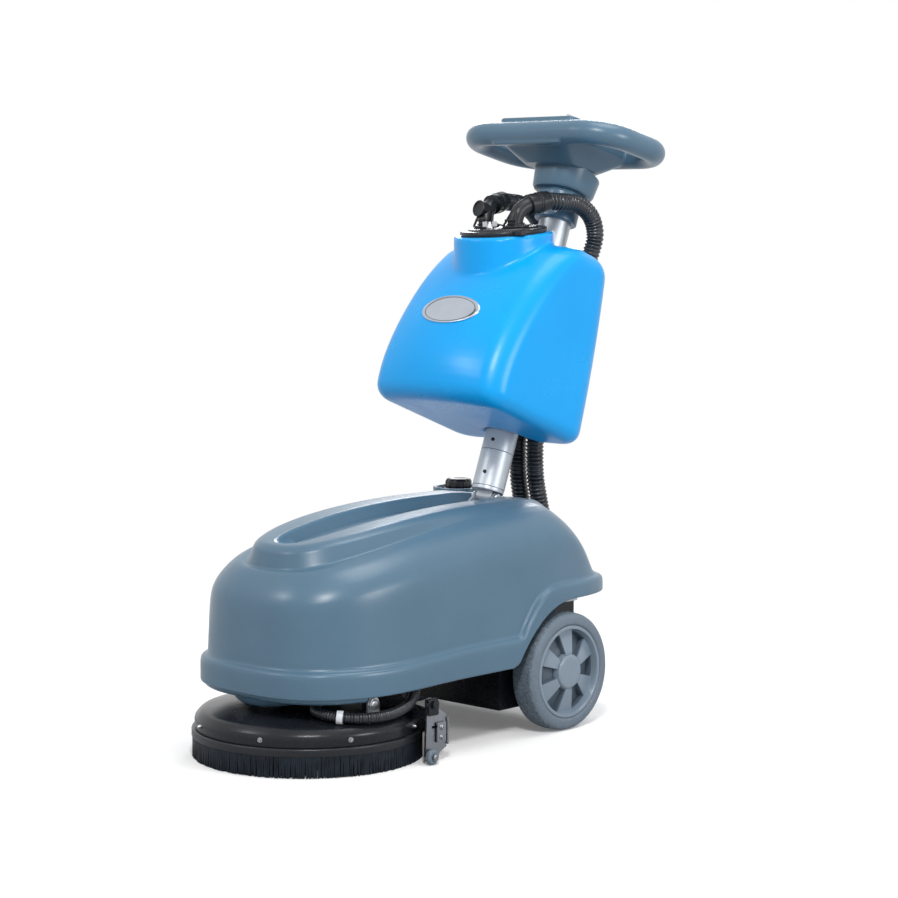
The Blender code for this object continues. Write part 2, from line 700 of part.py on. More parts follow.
# Clean water: a flat tank over the battery bay, notched around the mast column.
def make_clean_tank(paints, root):
    low = Vector((-0.148, -0.165, BAY_TOP + GAP))
    high = Vector((0.148, 0.074, FILLER_TOP - FILLER_DEPTH - GAP))
    wall = Vector((0.004, 0.004, 0.004))
    notch = 0.004
    tank = box("clean_water_tank", low, high, paints["white"], root)
    cut(tank, box("column_notch", (-COLUMN_HALF - notch, COLUMN_FRONT - notch, 0.1),
                  (COLUMN_HALF + notch, 0.2, 0.5), None, root))
    hollow = box("water_space", low + wall, high - wall, None, root)
    around = notch + wall.x
    cut(hollow, box("column_wall", (-COLUMN_HALF - around, COLUMN_FRONT - around, 0.1),
                    (COLUMN_HALF + around, 0.2, 0.5), None, root))
    cut(tank, hollow)
    cut(tank, rod("water_inlet", FILLER_BORE - 0.004, 0.03, (FILLER_X, FILLER_Y, high.z), "Z",
                  None, root, 24))


# ---------------------------------------------------------------- brush deck

def make_deck(paints, deck):
    rim = DECK_RADIUS
    wall = DECK_WALL
    shaft = 0.015
    shoulder = rim - 0.013
    fall = 0.014
    profile = [(shaft, DECK_TOP), (0.075, DECK_TOP), (0.130, DECK_TOP - 0.006),
               (shoulder, DECK_TOP - fall), (rim - 0.004, DECK_RIM_TOP),
               (rim, DECK_RIM_TOP - 0.006), (rim, BAND_TOP + GAP), (rim - wall, BAND_TOP + GAP),
               (rim - wall, DECK_RIM_TOP - 0.008), (shoulder - 0.002, DECK_TOP - fall - wall),
               (0.075, DECK_TOP - wall), (shaft, DECK_TOP - wall)]
    pan = turned("brush_deck", profile, paints["steel"], deck, steps=32)
    for side in (-1, 1):
        make_lift_bracket(side, pan, deck)

    inner = rim - wall - GAP
    band = rim + 0.005
    carrier = [(inner - 0.003, DECK_RIM_TOP - 0.012), (inner, DECK_RIM_TOP - 0.012),
               (inner, BAND_TOP), (band, BAND_TOP), (band, BRISTLE_TOP + GAP),
               (inner - 0.003, BRISTLE_TOP + GAP)]
    turned("skirt_carrier", carrier, paints["black"], deck, steps=32)
    turned("bristle_skirt", ring_profile(inner - 0.002, band - 0.001, 0.0, BRISTLE_TOP),
           paints["bristle"], deck, steps=32)

    motor_top = DECK_TOP + MOTOR_HEIGHT
    motor = [(0.0, motor_top), (0.036, motor_top), (0.038, motor_top - 0.055),
             (MOTOR_RADIUS, motor_top - 0.060), (MOTOR_RADIUS, DECK_TOP + GAP),
             (0.0, DECK_TOP + GAP)]
    turned("brush_motor", motor, paints["black"], deck, steps=20, closed=False)
    for side, name in ((1, "left"), (-1, "right")):
        make_ear(side, name, paints, deck)
    make_conduit(paints, deck)


# Arm welded to the deck, with the pin on which the squeegee lifts.
def make_lift_bracket(side, pan, deck):
    y = LIFT_Y - DECK_Y
    foot_low, foot_high = DECK_TOP - 0.019, DECK_TOP - 0.009
    outer = ARM_X - 0.002 - 2 * GAP
    upright = outer - 0.0035

    def spread(inner, far):
        return min(side * inner, side * far), max(side * inner, side * far)

    x_low, x_high = spread(0.140, outer)
    join(pan, box("lift_foot", (x_low, y - 0.008, foot_low), (x_high, y + 0.008, foot_high),
                  None, deck))
    x_low, x_high = spread(upright, outer)
    join(pan, box("lift_upright", (x_low, y - 0.008, foot_high - 0.002),
                  (x_high, y + 0.008, LIFT_Z + 0.008), None, deck))
    join(pan, rod("lift_pin", 0.004, 0.009, (side * (outer + 0.003), y, LIFT_Z), "X", None,
                  deck, 12))


# Upright bracket on the deck, bored for the pivot pin.
def make_ear(side, name, paints, deck):
    wall = 0.004
    half = 0.013
    base = DECK_TOP - 0.0083
    rise = PIVOT_Z - base
    outline = [(-half, 0.0), (half, 0.0)] + circle_points(half, 0, 180, 9, (0, rise))
    low = side * PIVOT_X - wall / 2
    ear = prism(name + "_deck_ear", outline, wall, paints["zinc"], deck,
                (low, 0, base), (90, 0, 90))
    cut(ear, rod("ear_bore", PIVOT_PIN + GAP, 0.02, (side * PIVOT_X, 0, PIVOT_Z), "X", None,
                 deck, 16))


def make_conduit(paints, deck):
    tube("power_conduit", smooth_path(CONDUIT, 1), CONDUIT_RADIUS, paints["black"], deck,
         resolution=2)
    before, after = Vector(CONDUIT[4]), Vector(CONDUIT[5])
    here = (before + after) / 2
    heading = (after - before).normalized()
    clip = turned("conduit_clip", ring_profile(CONDUIT_RADIUS + 0.0006, CONDUIT_RADIUS + 0.002,
                                               -0.005, 0.005), paints["white"], deck, here,
                  steps=16)
    clip.rotation_mode = "QUATERNION"
    clip.rotation_quaternion = heading.to_track_quat("Z", "Y")


def make_brush(paints, brush):
    hub_top = DECK_TOP - DECK_WALL - 0.002
    plate = [(0.0, DECK_TOP), (0.012, DECK_TOP), (0.012, hub_top - 0.010),
             (0.040, hub_top - 0.014), (0.040, 0.052), (0.110, 0.050), (0.110, 0.0385),
             (0.0, 0.0385)]
    turned("drive_plate", plate, paints["black"], brush, steps=20, closed=False)
    bristles = [(0.045, 0.038), (BRUSH_RADIUS, 0.038), (BRUSH_RADIUS, 0.020),
                (BRUSH_RADIUS - 0.002, 0.0), (0.060, 0.0), (0.045, 0.020)]
    turned("scrub_brush", bristles, paints["bristle"], brush, steps=28)


# ---------------------------------------------------------------- squeegee

def make_squeegee(paints, squeegee):
    middle = (0, DECK_Y - LIFT_Y, -LIFT_Z)
    half = BLADE_WALL / 2
    blade_end = 180 - BLADE_START
    inner = BLADE_RADIUS + half + GAP
    outer = inner + BEAM_WALL
    arc_solid("front_blade", BLADE_RADIUS - half, BLADE_RADIUS + half, 0.0005, BLADE_TOP,
              BLADE_START, blade_end, 25, paints["blade"], squeegee, middle)
    arc_solid("rear_blade", outer + GAP, outer + GAP + BLADE_WALL, 0.0005, BLADE_TOP,
              BEAM_START, 180 - BEAM_START, 25, paints["blade"], squeegee, middle)
    beam = arc_solid("squeegee_beam", inner, outer, BEAM_BASE, BEAM_TOP, BEAM_START,
                     180 - BEAM_START, 25, paints["black"], squeegee, middle)
    port = rod("suction_port", 0.014, 0.020, (0, DECK_Y - LIFT_Y + (inner + outer) / 2 + 0.006,
                                              BEAM_TOP + 0.007 - LIFT_Z), "Z", None,
               squeegee, 20)
    join(beam, port)
    for side, name in ((1, "left"), (-1, "right")):
        make_arm(side, name, paints, squeegee)


# Side arm: from the lift hinge down to the beam's end, with the pin of the guide roller.
def make_arm(side, name, paints, squeegee):
    wall = 0.004
    roller_y = ROLLER_Y - LIFT_Y
    roller_z = ROLLER_Z - LIFT_Z
    outline = circle_points(0.010, -20, 190, 7)
    outline += circle_points(0.009, 180, 330, 5, (roller_y, roller_z))
    outline += [(0.034, -0.072), (0.034, -0.020)]
    arm = prism(name + "_squeegee_arm", outline, wall, paints["zinc"], squeegee,
                (side * ARM_X - wall / 2, 0, 0), (90, 0, 90))
    cut(arm, rod("lift_bore", 0.004 + GAP, 0.03, (side * ARM_X, 0, 0), "X", None, squeegee, 12))
    reach = ROLLER_WIDTH + 0.004
    start = ARM_X + wall / 2 - 0.001
    join(arm, rod("roller_pin", 0.003, reach, (side * (start + reach / 2), roller_y, roller_z),
                  "X", None, squeegee, 12))
    head = start + reach
    join(arm, rod("roller_pin_head", 0.0055, 0.003, (side * (head + 0.001), roller_y, roller_z),
                  "X", None, squeegee, 12))
    beam_end = BLADE_RADIUS * math.cos(math.radians(BEAM_START))
    lug_y = DECK_Y + BLADE_RADIUS * math.sin(math.radians(BEAM_START)) - LIFT_Y
    low, high = beam_end + 0.002, ARM_X
    join(arm, box("beam_lug", (min(side * low, side * high), lug_y - 0.006, BEAM_TOP + GAP - LIFT_Z),
                  (max(side * low, side * high), lug_y + 0.012, BEAM_TOP + 0.0045 - LIFT_Z),
                  None, squeegee))


# Guide roller on the end of each arm.
def make_roller(side, name, paints, root):
    axis = axis_empty(name + "_roller_axis", (side * ARM_X, ROLLER_Y, ROLLER_Z),
                      (0, side * 90, 0), root)
    start = 0.002 + 2 * GAP
    bore = 0.003 + GAP
    turned(name + "_guide_roller", ring_profile(bore, ROLLER_RADIUS, start, start + ROLLER_WIDTH),
           paints["tyre"], axis, steps=20)


# ---------------------------------------------------------------- mast

# Height above the hinge along the mast, for a height above the floor.
def along_mast(height):
    return (height - HINGE_Z) / math.cos(math.radians(LEAN))


def mast_y(height):
    return HINGE_Y + (height - HINGE_Z) * math.tan(math.radians(LEAN))


def make_hinge_base(paints, root):
    floor = BODY_CREST - CHANNEL_DEPTH + GAP
    plate = box("hinge_base", (-0.027, HINGE_Y - 0.036, floor),
                (0.027, HINGE_Y + 0.016, BASE_TOP), paints["aluminium"], root)
    rise = HINGE_Z - BASE_TOP
    for side in (-1, 1):
        outline = [(-0.030, -0.001), (0.015, -0.001)] + circle_points(0.0075, -10, 150, 7,
                                                                     (0, rise))
        ear = prism("hinge_ear", outline, EAR_WALL, None, root,
                    (side * EAR_X - EAR_WALL / 2, HINGE_Y, BASE_TOP), (90, 0, 90))
        join(plate, ear)
    cut(plate, rod("hinge_bore", 0.0043, 0.1, (0, HINGE_Y, HINGE_Z), "X", None, root, 16))
    length = 2 * (EAR_X + EAR_WALL / 2 + 0.004)
    rod("hinge_pin", 0.004, length, (0, HINGE_Y, HINGE_Z), "X", paints["zinc"], root, 16)


def make_mast(paints, mast):
    knuckle = EAR_X - EAR_WALL / 2 - GAP
    foot = turned("mast_foot", [(0.0, SEAM + 0.040), (TUBE_RADIUS - TUBE_WALL - GAP, SEAM + 0.040),
                                (TUBE_RADIUS - TUBE_WALL - GAP, SLEEVE_BASE - GAP),
                                (TUBE_RADIUS - 0.0005, SLEEVE_BASE - GAP),
                                (TUBE_RADIUS - 0.0005, COLLAR_BASE), (0.0, COLLAR_BASE)],
                  paints["aluminium"], mast, steps=24, closed=False)
    outline = [(0.0075, 0.012), (-0.0075, 0.012)] + circle_points(0.0075, 180, 360, 9)
    join(foot, prism("mast_knuckle", outline, 2 * knuckle, None, mast, (-knuckle, 0, 0),
                     (90, 0, 90)))
    cut(foot, rod("knuckle_bore", 0.0043, 0.1, (0, 0, 0), "X", None, mast, 16))

    inner = TUBE_RADIUS - TUBE_WALL
    turned("lower_post", ring_profile(inner, TUBE_RADIUS, SLEEVE_BASE, SEAM - GAP),
           paints["aluminium"], mast, steps=24)
    turned("upper_post", ring_profile(inner, TUBE_RADIUS, SEAM, TUBE_TOP),
           paints["aluminium"], mast, steps=24)
    pad = TUBE_RADIUS + GAP
    box("tank_pad", (-0.005, -TUBE_RADIUS - POST_CLEARANCE + 0.0016, along_mast(0.60)),
        (0.005, -pad, along_mast(0.76)), paints["rubber"], mast)
    make_hose_clip(paints, mast)
    make_handle(paints, mast)


# Black block on the back of the post that both hoses lie in.
def make_hose_clip(paints, mast):
    along = along_mast(CLIP_Z)
    clip = box("hose_clip", (-0.038, TUBE_RADIUS - 0.010, along - 0.010),
               (0.038, 0.070, along + 0.010), paints["black"], mast)
    cut(clip, rod("post_seat", TUBE_RADIUS + GAP, 0.05, (0, 0, along), "Z", None, mast, 32))
    for side in (-1, 1):
        cut(clip, rod("hose_seat", HOSE_RADIUS + 0.0006, 0.06, (side * CLIP_HOSE_X,
                                                                 CLIP_HOSE_Y, along), "Z",
                      None, mast, 16))


def rounded_loop(half_x, half_y, corner, steps):
    points = []
    for number, (sx, sy) in enumerate(((1, 1), (-1, 1), (-1, -1), (1, -1))):
        centre = (sx * (half_x - corner), sy * (half_y - corner))
        points += circle_points(corner, 90 * number, 90 * (number + 1), steps, centre)
    return points


# Steering loop with a broad middle, carried by a socket on the post.
def make_handle(paints, mast):
    tilt = HANDLE_TILT - LEAN
    frame = axis_empty("handle_axis", (0, HANDLE_SHIFT, HANDLE_RISE), (-tilt, 0, 0), mast)
    half_x = HANDLE_WIDTH / 2 - HANDLE_TUBE
    half_y = HANDLE_DEPTH / 2 - HANDLE_TUBE
    loop = [(x, y, 0.0) for x, y in rounded_loop(half_x, half_y, HANDLE_CORNER - HANDLE_TUBE, 6)]
    handle = tube_mesh("handle_frame", loop, HANDLE_TUBE, paints["body"], frame, True, 2)
    middle = loft([[(x, y, z) for x, y in rounded_loop(hx, hy, corner, 4)]
                   for hx, hy, corner, z in ((0.040, 0.044, 0.020, -HANDLE_KEEL),
                                             (0.070, 0.078, 0.030, -0.024),
                                             (0.082, half_y, 0.016, -0.008),
                                             (0.082, half_y, 0.016, 0.012))], "face", "face")
    join(handle, new_object("handle_middle", mesh_from(middle, "handle_middle"), None, frame))

    panel = [[(x, y + PANEL_Y, z) for x, y in rounded_loop(hx, hy, 0.012, 4)]
             for hx, hy, z in ((0.088, 0.040, 0.0),
                               (0.088, 0.040, PANEL_TOP - 0.004), (0.084, 0.036, PANEL_TOP))]
    console = new_object("control_panel", mesh_from(loft(panel, "face", "face"), "console"),
                         paints["body"], frame)
    cut(handle, box("panel_recess", (-0.088 - GAP, PANEL_Y - 0.040 - GAP, -GAP),
                    (0.088 + GAP, PANEL_Y + 0.040 + GAP, 0.05), None, frame))
    make_controls(console, paints, frame)
    make_socket(paints, mast)


def make_controls(console, paints, frame):
    for name, x in CONTROLS:
        cut(console, rod(name + "_well", BUTTON_RADIUS + GAP, 0.02, (x, PANEL_Y, PANEL_TOP),
                         "Z", None, frame, 20))
        axis = axis_empty(name + "_axis", (x, PANEL_Y, PANEL_TOP), parent=frame)
        rod(name, BUTTON_RADIUS, 0.0105, (0, 0, -0.00075), "Z", paints["white"], axis, 20)
    cut(console, rod("key_well", 0.0085, 0.02, (KEY_X, PANEL_Y, PANEL_TOP), "Z", None, frame, 20))
    axis = axis_empty("key_axis", (KEY_X, PANEL_Y, PANEL_TOP), parent=frame)
    key = rod("key_switch", 0.0082, 0.012, (0, 0, -0.0035), "Z", paints["zinc"], axis, 20)
    join(key, box("key_blade", (-0.001, -0.009, 0.001), (0.001, 0.009, 0.011), None, axis))


# Stepped cup between the post and the handle.
def make_socket(paints, mast):
    bore = TUBE_RADIUS + GAP
    base = SOCKET_BASE
    tilt = math.radians(LEAN - HANDLE_TILT)
    top = HANDLE_RISE - HANDLE_KEEL / math.cos(tilt) - HANDLE_SHIFT * math.tan(tilt) - 0.0005
    rings = []
    for radius, height, slope in ((0.039, base + 0.010, 0.0), (0.042, base + 0.013, 0.0),
                                  (0.042, base + 0.028, 0.0), (0.049, base + 0.032, 0.0),
                                  (0.056, top, math.tan(tilt))):
        loop = rounded_loop(radius, radius, radius * 0.75, 5)
        rings.append([(x, y, height + y * slope) for x, y in loop])
    socket = new_object("handle_socket", mesh_from(loft(rings, "face", "face"), "socket"),
                        paints["body"], mast)
    cut(socket, rod("post_bore", bore, 2 * (TUBE_TOP + GAP - base), (0, 0, base), "Z", None,
                    mast, 32))
    collar = ring_profile(bore, bore + 0.009, base - SOCKET_SKIRT, base + 0.010 - GAP)
    turned("socket_collar", collar, paints["black"], mast, steps=24)


# ---------------------------------------------------------------- recovery tank

def along_table(table, place):
    places = [entry[0] for entry in table]
    return float(np.interp(place, places, [entry[1] for entry in table]))


# Outline of the tank at one place along the mast, drawn in by an inset.
def tank_outline(along, inset):
    half = TANK_HALF - inset
    front = along_table(TANK_FRONT, along) + inset
    rear = along_table(TANK_REAR, along) - inset
    bow = along_table(TANK_BOW, along)
    round_rear = max(REAR_CORNER - inset, 0.006)
    round_front = max(FRONT_CORNER - inset, 0.006)
    half_points = [(0.0, rear)]
    half_points += circle_points(round_rear, 90, 0, 5, (half - round_rear, rear - round_rear))
    half_points += circle_points(round_front, 0, -90, 5, (half - round_front, front + round_front))
    half_points += [(0.068, front), (0.034, front), (0.0, front)]
    middle = (front + rear) / 2
    swollen = [(x, y - bow * (1.0 - (x / half) ** 2) if y < middle else y)
               for x, y in half_points]
    return mirrored(swollen)


# Rings from the base to the crown, both rounded, set in by the wall thickness.
def tank_rings(wall, angles, levels):
    rings = []
    for angle in angles:
        turn = math.radians(angle)
        rings.append((TANK_BASE + wall + (BASE_ROUND - wall) * (1.0 - math.cos(turn)),
                      wall + (BASE_ROUND - wall) * (1.0 - math.sin(turn))))
    rings += [(level, wall) for level in levels]
    for angle in reversed(angles):
        turn = math.radians(angle)
        rings.append((TANK_CROWN - wall - (CROWN_ROUND - wall) * (1.0 - math.cos(turn)),
                      wall + (CROWN_ROUND - wall) * (1.0 - math.sin(turn))))
    return [[(x, y, along) for x, y in tank_outline(along, inset)] for along, inset in rings]


def neck_ring(radius, height, tilt, count):
    slope = math.tan(math.radians(tilt))
    circle = circle_points(radius, 0, 360.0 * (count - 1) / count, count)
    return [(x, NECK_Y + y, height + y * slope) for x, y in circle]


# Tool for the hollow at the back of the tank that the post lies in.
def post_groove(name, wall, mast):
    radius = TUBE_RADIUS + POST_CLEARANCE + wall
    outline = circle_points(radius, 180, 360, 13) + [(radius + 0.030, 0.080),
                                                     (-radius - 0.030, 0.080)]
    return prism(name, outline, 0.5, None, mast, (0, 0, 0.05))


def make_tank(paints, tank, root):
    levels = (0.150, 0.200, 0.248, 0.293, 0.335, 0.373)
    outer = loft(tank_rings(0.0, (0, 30, 60, 90), levels), "face", "face")
    shell = new_object("recovery_tank", mesh_from(outer, "recovery_tank"), paints["tank"], tank)
    neck = loft([neck_ring(NECK_RADIUS, NECK_FOOT, 0.0, 36),
                 neck_ring(NECK_RADIUS, NECK_TOP - 0.002, NECK_TILT, 36),
                 neck_ring(NECK_RADIUS - 0.002, NECK_TOP, NECK_TILT, 36)], "face", "face")
    join(shell, new_object("neck", mesh_from(neck, "neck"), None, root))
    cut(shell, post_groove("groove", 0.0, tank))

    inner = loft(tank_rings(TANK_WALL, (0, 45, 90), levels[1::2]), "face", "face")
    space = new_object("tank_space", mesh_from(inner, "tank_space"), None, tank)
    mouth = loft([neck_ring(MOUTH_RADIUS, NECK_FOOT + 0.03, 0.0, 24),
                  neck_ring(MOUTH_RADIUS, NECK_TOP + 0.01, NECK_TILT, 24)], "face", "face")
    join(space, new_object("mouth", mesh_from(mouth, "mouth"), None, root))
    cut(space, post_groove("groove_wall", TANK_WALL, tank))
    cut(shell, space)
    make_badge(paints, tank)


# Bare oval plate on the sloping front of the tank.
def make_badge(paints, tank):
    def front(along):
        return along_table(TANK_FRONT, along) - along_table(TANK_BOW, along)

    reach = 0.020
    slope = math.atan2(front(BADGE_ALONG + reach) - front(BADGE_ALONG - reach), 2 * reach)
    oval = [(BADGE_HALF * x, BADGE_RISE * y) for x, y in circle_points(1.0, 0, 345, 24)]
    plate = prism("tank_badge", oval, 0.006, paints["badge"], tank,
                  (0, front(BADGE_ALONG) + 0.004 * math.cos(slope),
                   BADGE_ALONG - 0.004 * math.sin(slope)),
                  (90 - math.degrees(slope), 0, 0))
    plate.name = "tank_badge"
    levels = (0.200, 0.248, 0.293, 0.335)
    rings = [[(x, y, along) for x, y in tank_outline(along, -GAP)] for along in levels]
    tool = new_object("badge_seat", mesh_from(loft(rings, "face", "face"), "badge_seat"), None,
                      tank)
    cut(plate, tool)


LID_TOP = GAP + GASKET + LID_WALL + 0.004 + GAP


def make_lid(paints, lid):
    base = GAP + GASKET
    flat = LID_RADIUS - 0.0015
    plug = MOUTH_RADIUS - 0.0015
    turned("lid_gasket", ring_profile(MOUTH_RADIUS + 0.001, LID_RADIUS - 0.002, GAP, GASKET),
           paints["rubber"], lid, steps=20)
    profile = [(0.0, base + LID_WALL + 0.004), (0.060, base + LID_WALL + 0.003),
               (0.062, base + LID_WALL), (flat, base + LID_WALL), (LID_RADIUS, base + 0.004),
               (LID_RADIUS, base), (plug, base), (plug, -0.012), (0.0, -0.012)]
    turned("tank_lid", profile, paints["black"], lid, steps=24, closed=False)
    for side, name in ((1, "left"), (-1, "right")):
        path = [(side * x, y, LID_TOP + z) for x, y, z in ELBOW]
        tube(name + "_elbow", path, ELBOW_RADIUS, paints["black"], lid, resolution=2)


# ---------------------------------------------------------------- hoses

# Place on the line of the elbow's open end, an offset beyond it, seen in the machine's frame.
def elbow_end(side, offset):
    last, before = Vector(ELBOW[-1]), Vector(ELBOW[-2])
    x, y, z = last + (last - before).normalized() * offset
    tilt = math.radians(NECK_TILT)
    z += LID_TOP
    return (side * x, NECK_Y + y * math.cos(tilt) - z * math.sin(tilt),
            NECK_TOP + y * math.sin(tilt) + z * math.cos(tilt))


def clip_point(side, offset):
    along = along_mast(CLIP_Z) + offset
    lean = math.radians(LEAN)
    return (side * CLIP_HOSE_X,
            HINGE_Y + CLIP_HOSE_Y * math.cos(lean) + along * math.sin(lean),
            HINGE_Z - CLIP_HOSE_Y * math.sin(lean) + along * math.cos(lean))


def make_hoses(paints, root):
    inlet_top = HOUSING_TOP + GAP + 0.010
    for side, name in ((1, "left"), (-1, "right")):
        upper = [elbow_end(side, 2 * GAP), elbow_end(side, 0.015)]
        upper += [(side * x, y, z) for x, y, z in UPPER_ROUTE]
        upper += [clip_point(side, 0.022), clip_point(side, GAP)]
        lower = [(side * x, y, z) for x, y, z in LOWER_ROUTE]
        lower += [(side * INLET_X, INLET_Y, inlet_top + 0.010),
                  (side * INLET_X, INLET_Y, inlet_top + GAP)]
        lower = [clip_point(side, -GAP), clip_point(side, -0.022)] + lower
        tube(name + "_hose_upper", smooth_path(upper, 1), HOSE_RADIUS, paints["black"], root,
             resolution=2)
        tube(name + "_hose_lower", smooth_path(lower, 1), HOSE_RADIUS, paints["black"], root,
             resolution=2)
    plate = box("hose_inlet", (-HOUSING_HALF + 0.001, INLET_Y - 0.0175, HOUSING_TOP + GAP),
                (HOUSING_HALF - 0.001, INLET_Y + 0.0175, HOUSING_TOP + 0.004), paints["black"], root)
    for side in (-1, 1):
        join(plate, rod("inlet_socket", HOSE_RADIUS + 0.002, inlet_top - HOUSING_TOP - 0.001,
                        (side * INLET_X, INLET_Y, (inlet_top + HOUSING_TOP + 0.001) / 2), "Z", None,
                        root, 20))
    for side in (-1, 1):
        cut(plate, rod("inlet_bore", HOSE_RADIUS - 0.003, 0.06, (side * INLET_X, INLET_Y,
                                                                 inlet_top), "Z", None, root, 16))


def main():
    clear_scene()
    paints = materials()
    root = axis_empty("machine", (0, AXLE_Y, 0))
    make_body(paints, root)
    make_chassis(paints, root)
    make_axle(paints, root)
    make_wheel(1, "left", paints, root)
    make_wheel(-1, "right", paints, root)
    deck = axis_empty("deck_axis", (0, DECK_Y, 0), parent=root)
    make_deck(paints, deck)
    brush = axis_empty("brush_axis", (0, DECK_Y, 0), parent=root)
    make_brush(paints, brush)
    squeegee = axis_empty("squeegee_axis", (0, LIFT_Y, LIFT_Z), parent=root)
    make_squeegee(paints, squeegee)
    make_roller(1, "left", paints, root)
    make_roller(-1, "right", paints, root)
    make_hinge_base(paints, root)
    mast = axis_empty("mast_axis", (0, HINGE_Y, HINGE_Z), (-LEAN, 0, 0), root)
    make_mast(paints, mast)
    tank = axis_empty("tank_axis", (0, HINGE_Y, HINGE_Z), (-LEAN, 0, 0), root)
    make_tank(paints, tank, root)
    make_lid(paints, axis_empty("lid_axis", (0, NECK_Y, NECK_TOP), (NECK_TILT, 0, 0), root))
    make_hoses(paints, root)


main()
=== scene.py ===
import json
import math

import bmesh
import bpy
import numpy as np
from mathutils import Matrix, Vector


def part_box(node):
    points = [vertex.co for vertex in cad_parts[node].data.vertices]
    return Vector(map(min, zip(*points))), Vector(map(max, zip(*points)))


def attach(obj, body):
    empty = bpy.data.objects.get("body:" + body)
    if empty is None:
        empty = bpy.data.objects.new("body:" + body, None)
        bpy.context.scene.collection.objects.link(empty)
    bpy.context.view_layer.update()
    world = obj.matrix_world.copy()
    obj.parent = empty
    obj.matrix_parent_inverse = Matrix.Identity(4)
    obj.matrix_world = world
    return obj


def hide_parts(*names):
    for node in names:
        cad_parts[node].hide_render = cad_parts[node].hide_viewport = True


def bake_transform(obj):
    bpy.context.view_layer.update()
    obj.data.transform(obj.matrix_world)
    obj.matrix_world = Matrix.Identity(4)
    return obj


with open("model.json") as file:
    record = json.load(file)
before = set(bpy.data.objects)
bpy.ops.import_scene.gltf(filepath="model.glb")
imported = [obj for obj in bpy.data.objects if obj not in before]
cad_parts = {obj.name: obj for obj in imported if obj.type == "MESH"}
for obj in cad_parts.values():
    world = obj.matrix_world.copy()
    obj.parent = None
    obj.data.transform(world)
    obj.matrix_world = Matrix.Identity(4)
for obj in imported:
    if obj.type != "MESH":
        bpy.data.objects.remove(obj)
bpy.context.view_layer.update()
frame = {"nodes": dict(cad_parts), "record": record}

nodes = frame["nodes"]
print("frame loaded:", len(nodes), "nodes")


# middle of a node's box at rest
def middleOf(node):
    low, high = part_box(node)
    return [(a + b) / 2 for a, b in zip(low, high)]


def turn(degrees, axis):
    return Matrix.Rotation(math.radians(degrees), 4, axis)


def shift(x, y, z):
    return Matrix.Translation((x, y, z))


# frames that the pieces are worked out in
mastLean = 20.8          # degrees to the rear
handleTilt = 13.0        # degrees down towards the operator
axleY = middleOf("wheel_axle")[1]
deckY = middleOf("scrub_brush")[1]
hinge = middleOf("hinge_pin")
axleFrame = shift(0, axleY, 0)
deckFrame = shift(0, deckY, 0)
mastFrame = shift(0, hinge[1], hinge[2]) @ turn(-mastLean, "X")
handleFrame = mastFrame @ shift(0, -0.0255, 0.639) @ turn(mastLean - handleTilt, "X")
lidFrame = axleFrame @ shift(0, 0.045, 0.834) @ turn(5.0, "X")

bothSides = ((1, "left"), (-1, "right"))


# ---- shapes: a shape is its points and its faces, worked out as whole arrays

# rows of points skinned with quads; rows run upwards, columns run round, anticlockwise from above
def skin(points, closedRows=False, capLow=False, capHigh=False):
    rows, columns = points.shape[:2]
    ids = np.arange(rows * columns).reshape(rows, columns)
    low = ids if closedRows else ids[:-1]
    high = np.roll(ids, -1, 0) if closedRows else ids[1:]
    faces = [np.stack((low, np.roll(low, -1, 1), np.roll(high, -1, 1), high), -1).reshape(-1, 4)]
    verts = [points.reshape(-1, 3)]
    count = rows * columns
    for use, row, order in ((capLow, 0, -1), (capHigh, rows - 1, 1)):
        if use:
            verts.append(points[row].mean(0)[None])
            ring = ids[row][::order]
            faces.append(np.stack((ring, np.roll(ring, -1), np.full(columns, count)), -1))
            count += 1
    return np.concatenate(verts), faces


def gather(*shapes):
    verts, faces, count = [], [], 0
    for points, polys in shapes:
        verts.append(points)
        faces += [poly + count for poly in polys]
        count += len(points)
    return np.concatenate(verts), faces


def moved(shape, matrix):
    place = np.array(matrix)
    return shape[0] @ place[:3, :3].T + place[:3, 3], shape[1]


# mirrored in the middle plane, with the faces turned back outwards
def flipped(shape):
    return shape[0] * (-1, 1, 1), [poly[:, ::-1] for poly in shape[1]]


# each corner becomes a short quadratic curve between two points set back along its two sides;
# works on outlines (n, 2) and on rows of points (n, columns, 3), along the first axis
def eased(line, radius, steps=5, closed=True):
    line = np.asarray(line, float)
    before, after = np.roll(line, 1, 0), np.roll(line, -1, 0)
    reach = np.broadcast_to(np.asarray(radius, float), (len(line),))
    reach = reach.reshape((-1,) + (1,) * (line.ndim - 1))

    def setBack(other):
        gap = other - line
        length = np.maximum(np.linalg.norm(gap, axis=-1, keepdims=True), 1e-9)
        return line + gap / length * np.minimum(reach, 0.49 * length)

    start, end = setBack(before), setBack(after)
    if not closed:
        start[0] = end[0] = line[0]
        start[-1] = end[-1] = line[-1]
    t = np.linspace(0, 1, steps).reshape((1, -1) + (1,) * (line.ndim - 1))
    curve = (1 - t) ** 2 * start[:, None] + 2 * t * (1 - t) * line[:, None] + t ** 2 * end[:, None]
    return curve.reshape((-1,) + line.shape[1:])


# a (radius, height) outline carried round Z; solid outlines run from the axis at the bottom,
# out, up, and back to the axis; ring outlines close on themselves
def lathe(outline, steps=96, ring=False, ease=0.0, wobble=None):
    outline = np.asarray(outline, float)
    if np.any(ease):
        outline = eased(outline, ease, 4, closed=ring)
    angle = np.linspace(0, 2 * np.pi, steps, endpoint=False)
    radius = outline[:, :1] * np.ones(steps)
    if wobble is not None:
        radius = wobble(radius, outline[:, 1:] * np.ones(steps), angle)
    height = outline[:, 1:] * np.ones(steps)
    points = np.stack((radius * np.cos(angle), radius * np.sin(angle), height), -1)
    return skin(points, closedRows=ring)


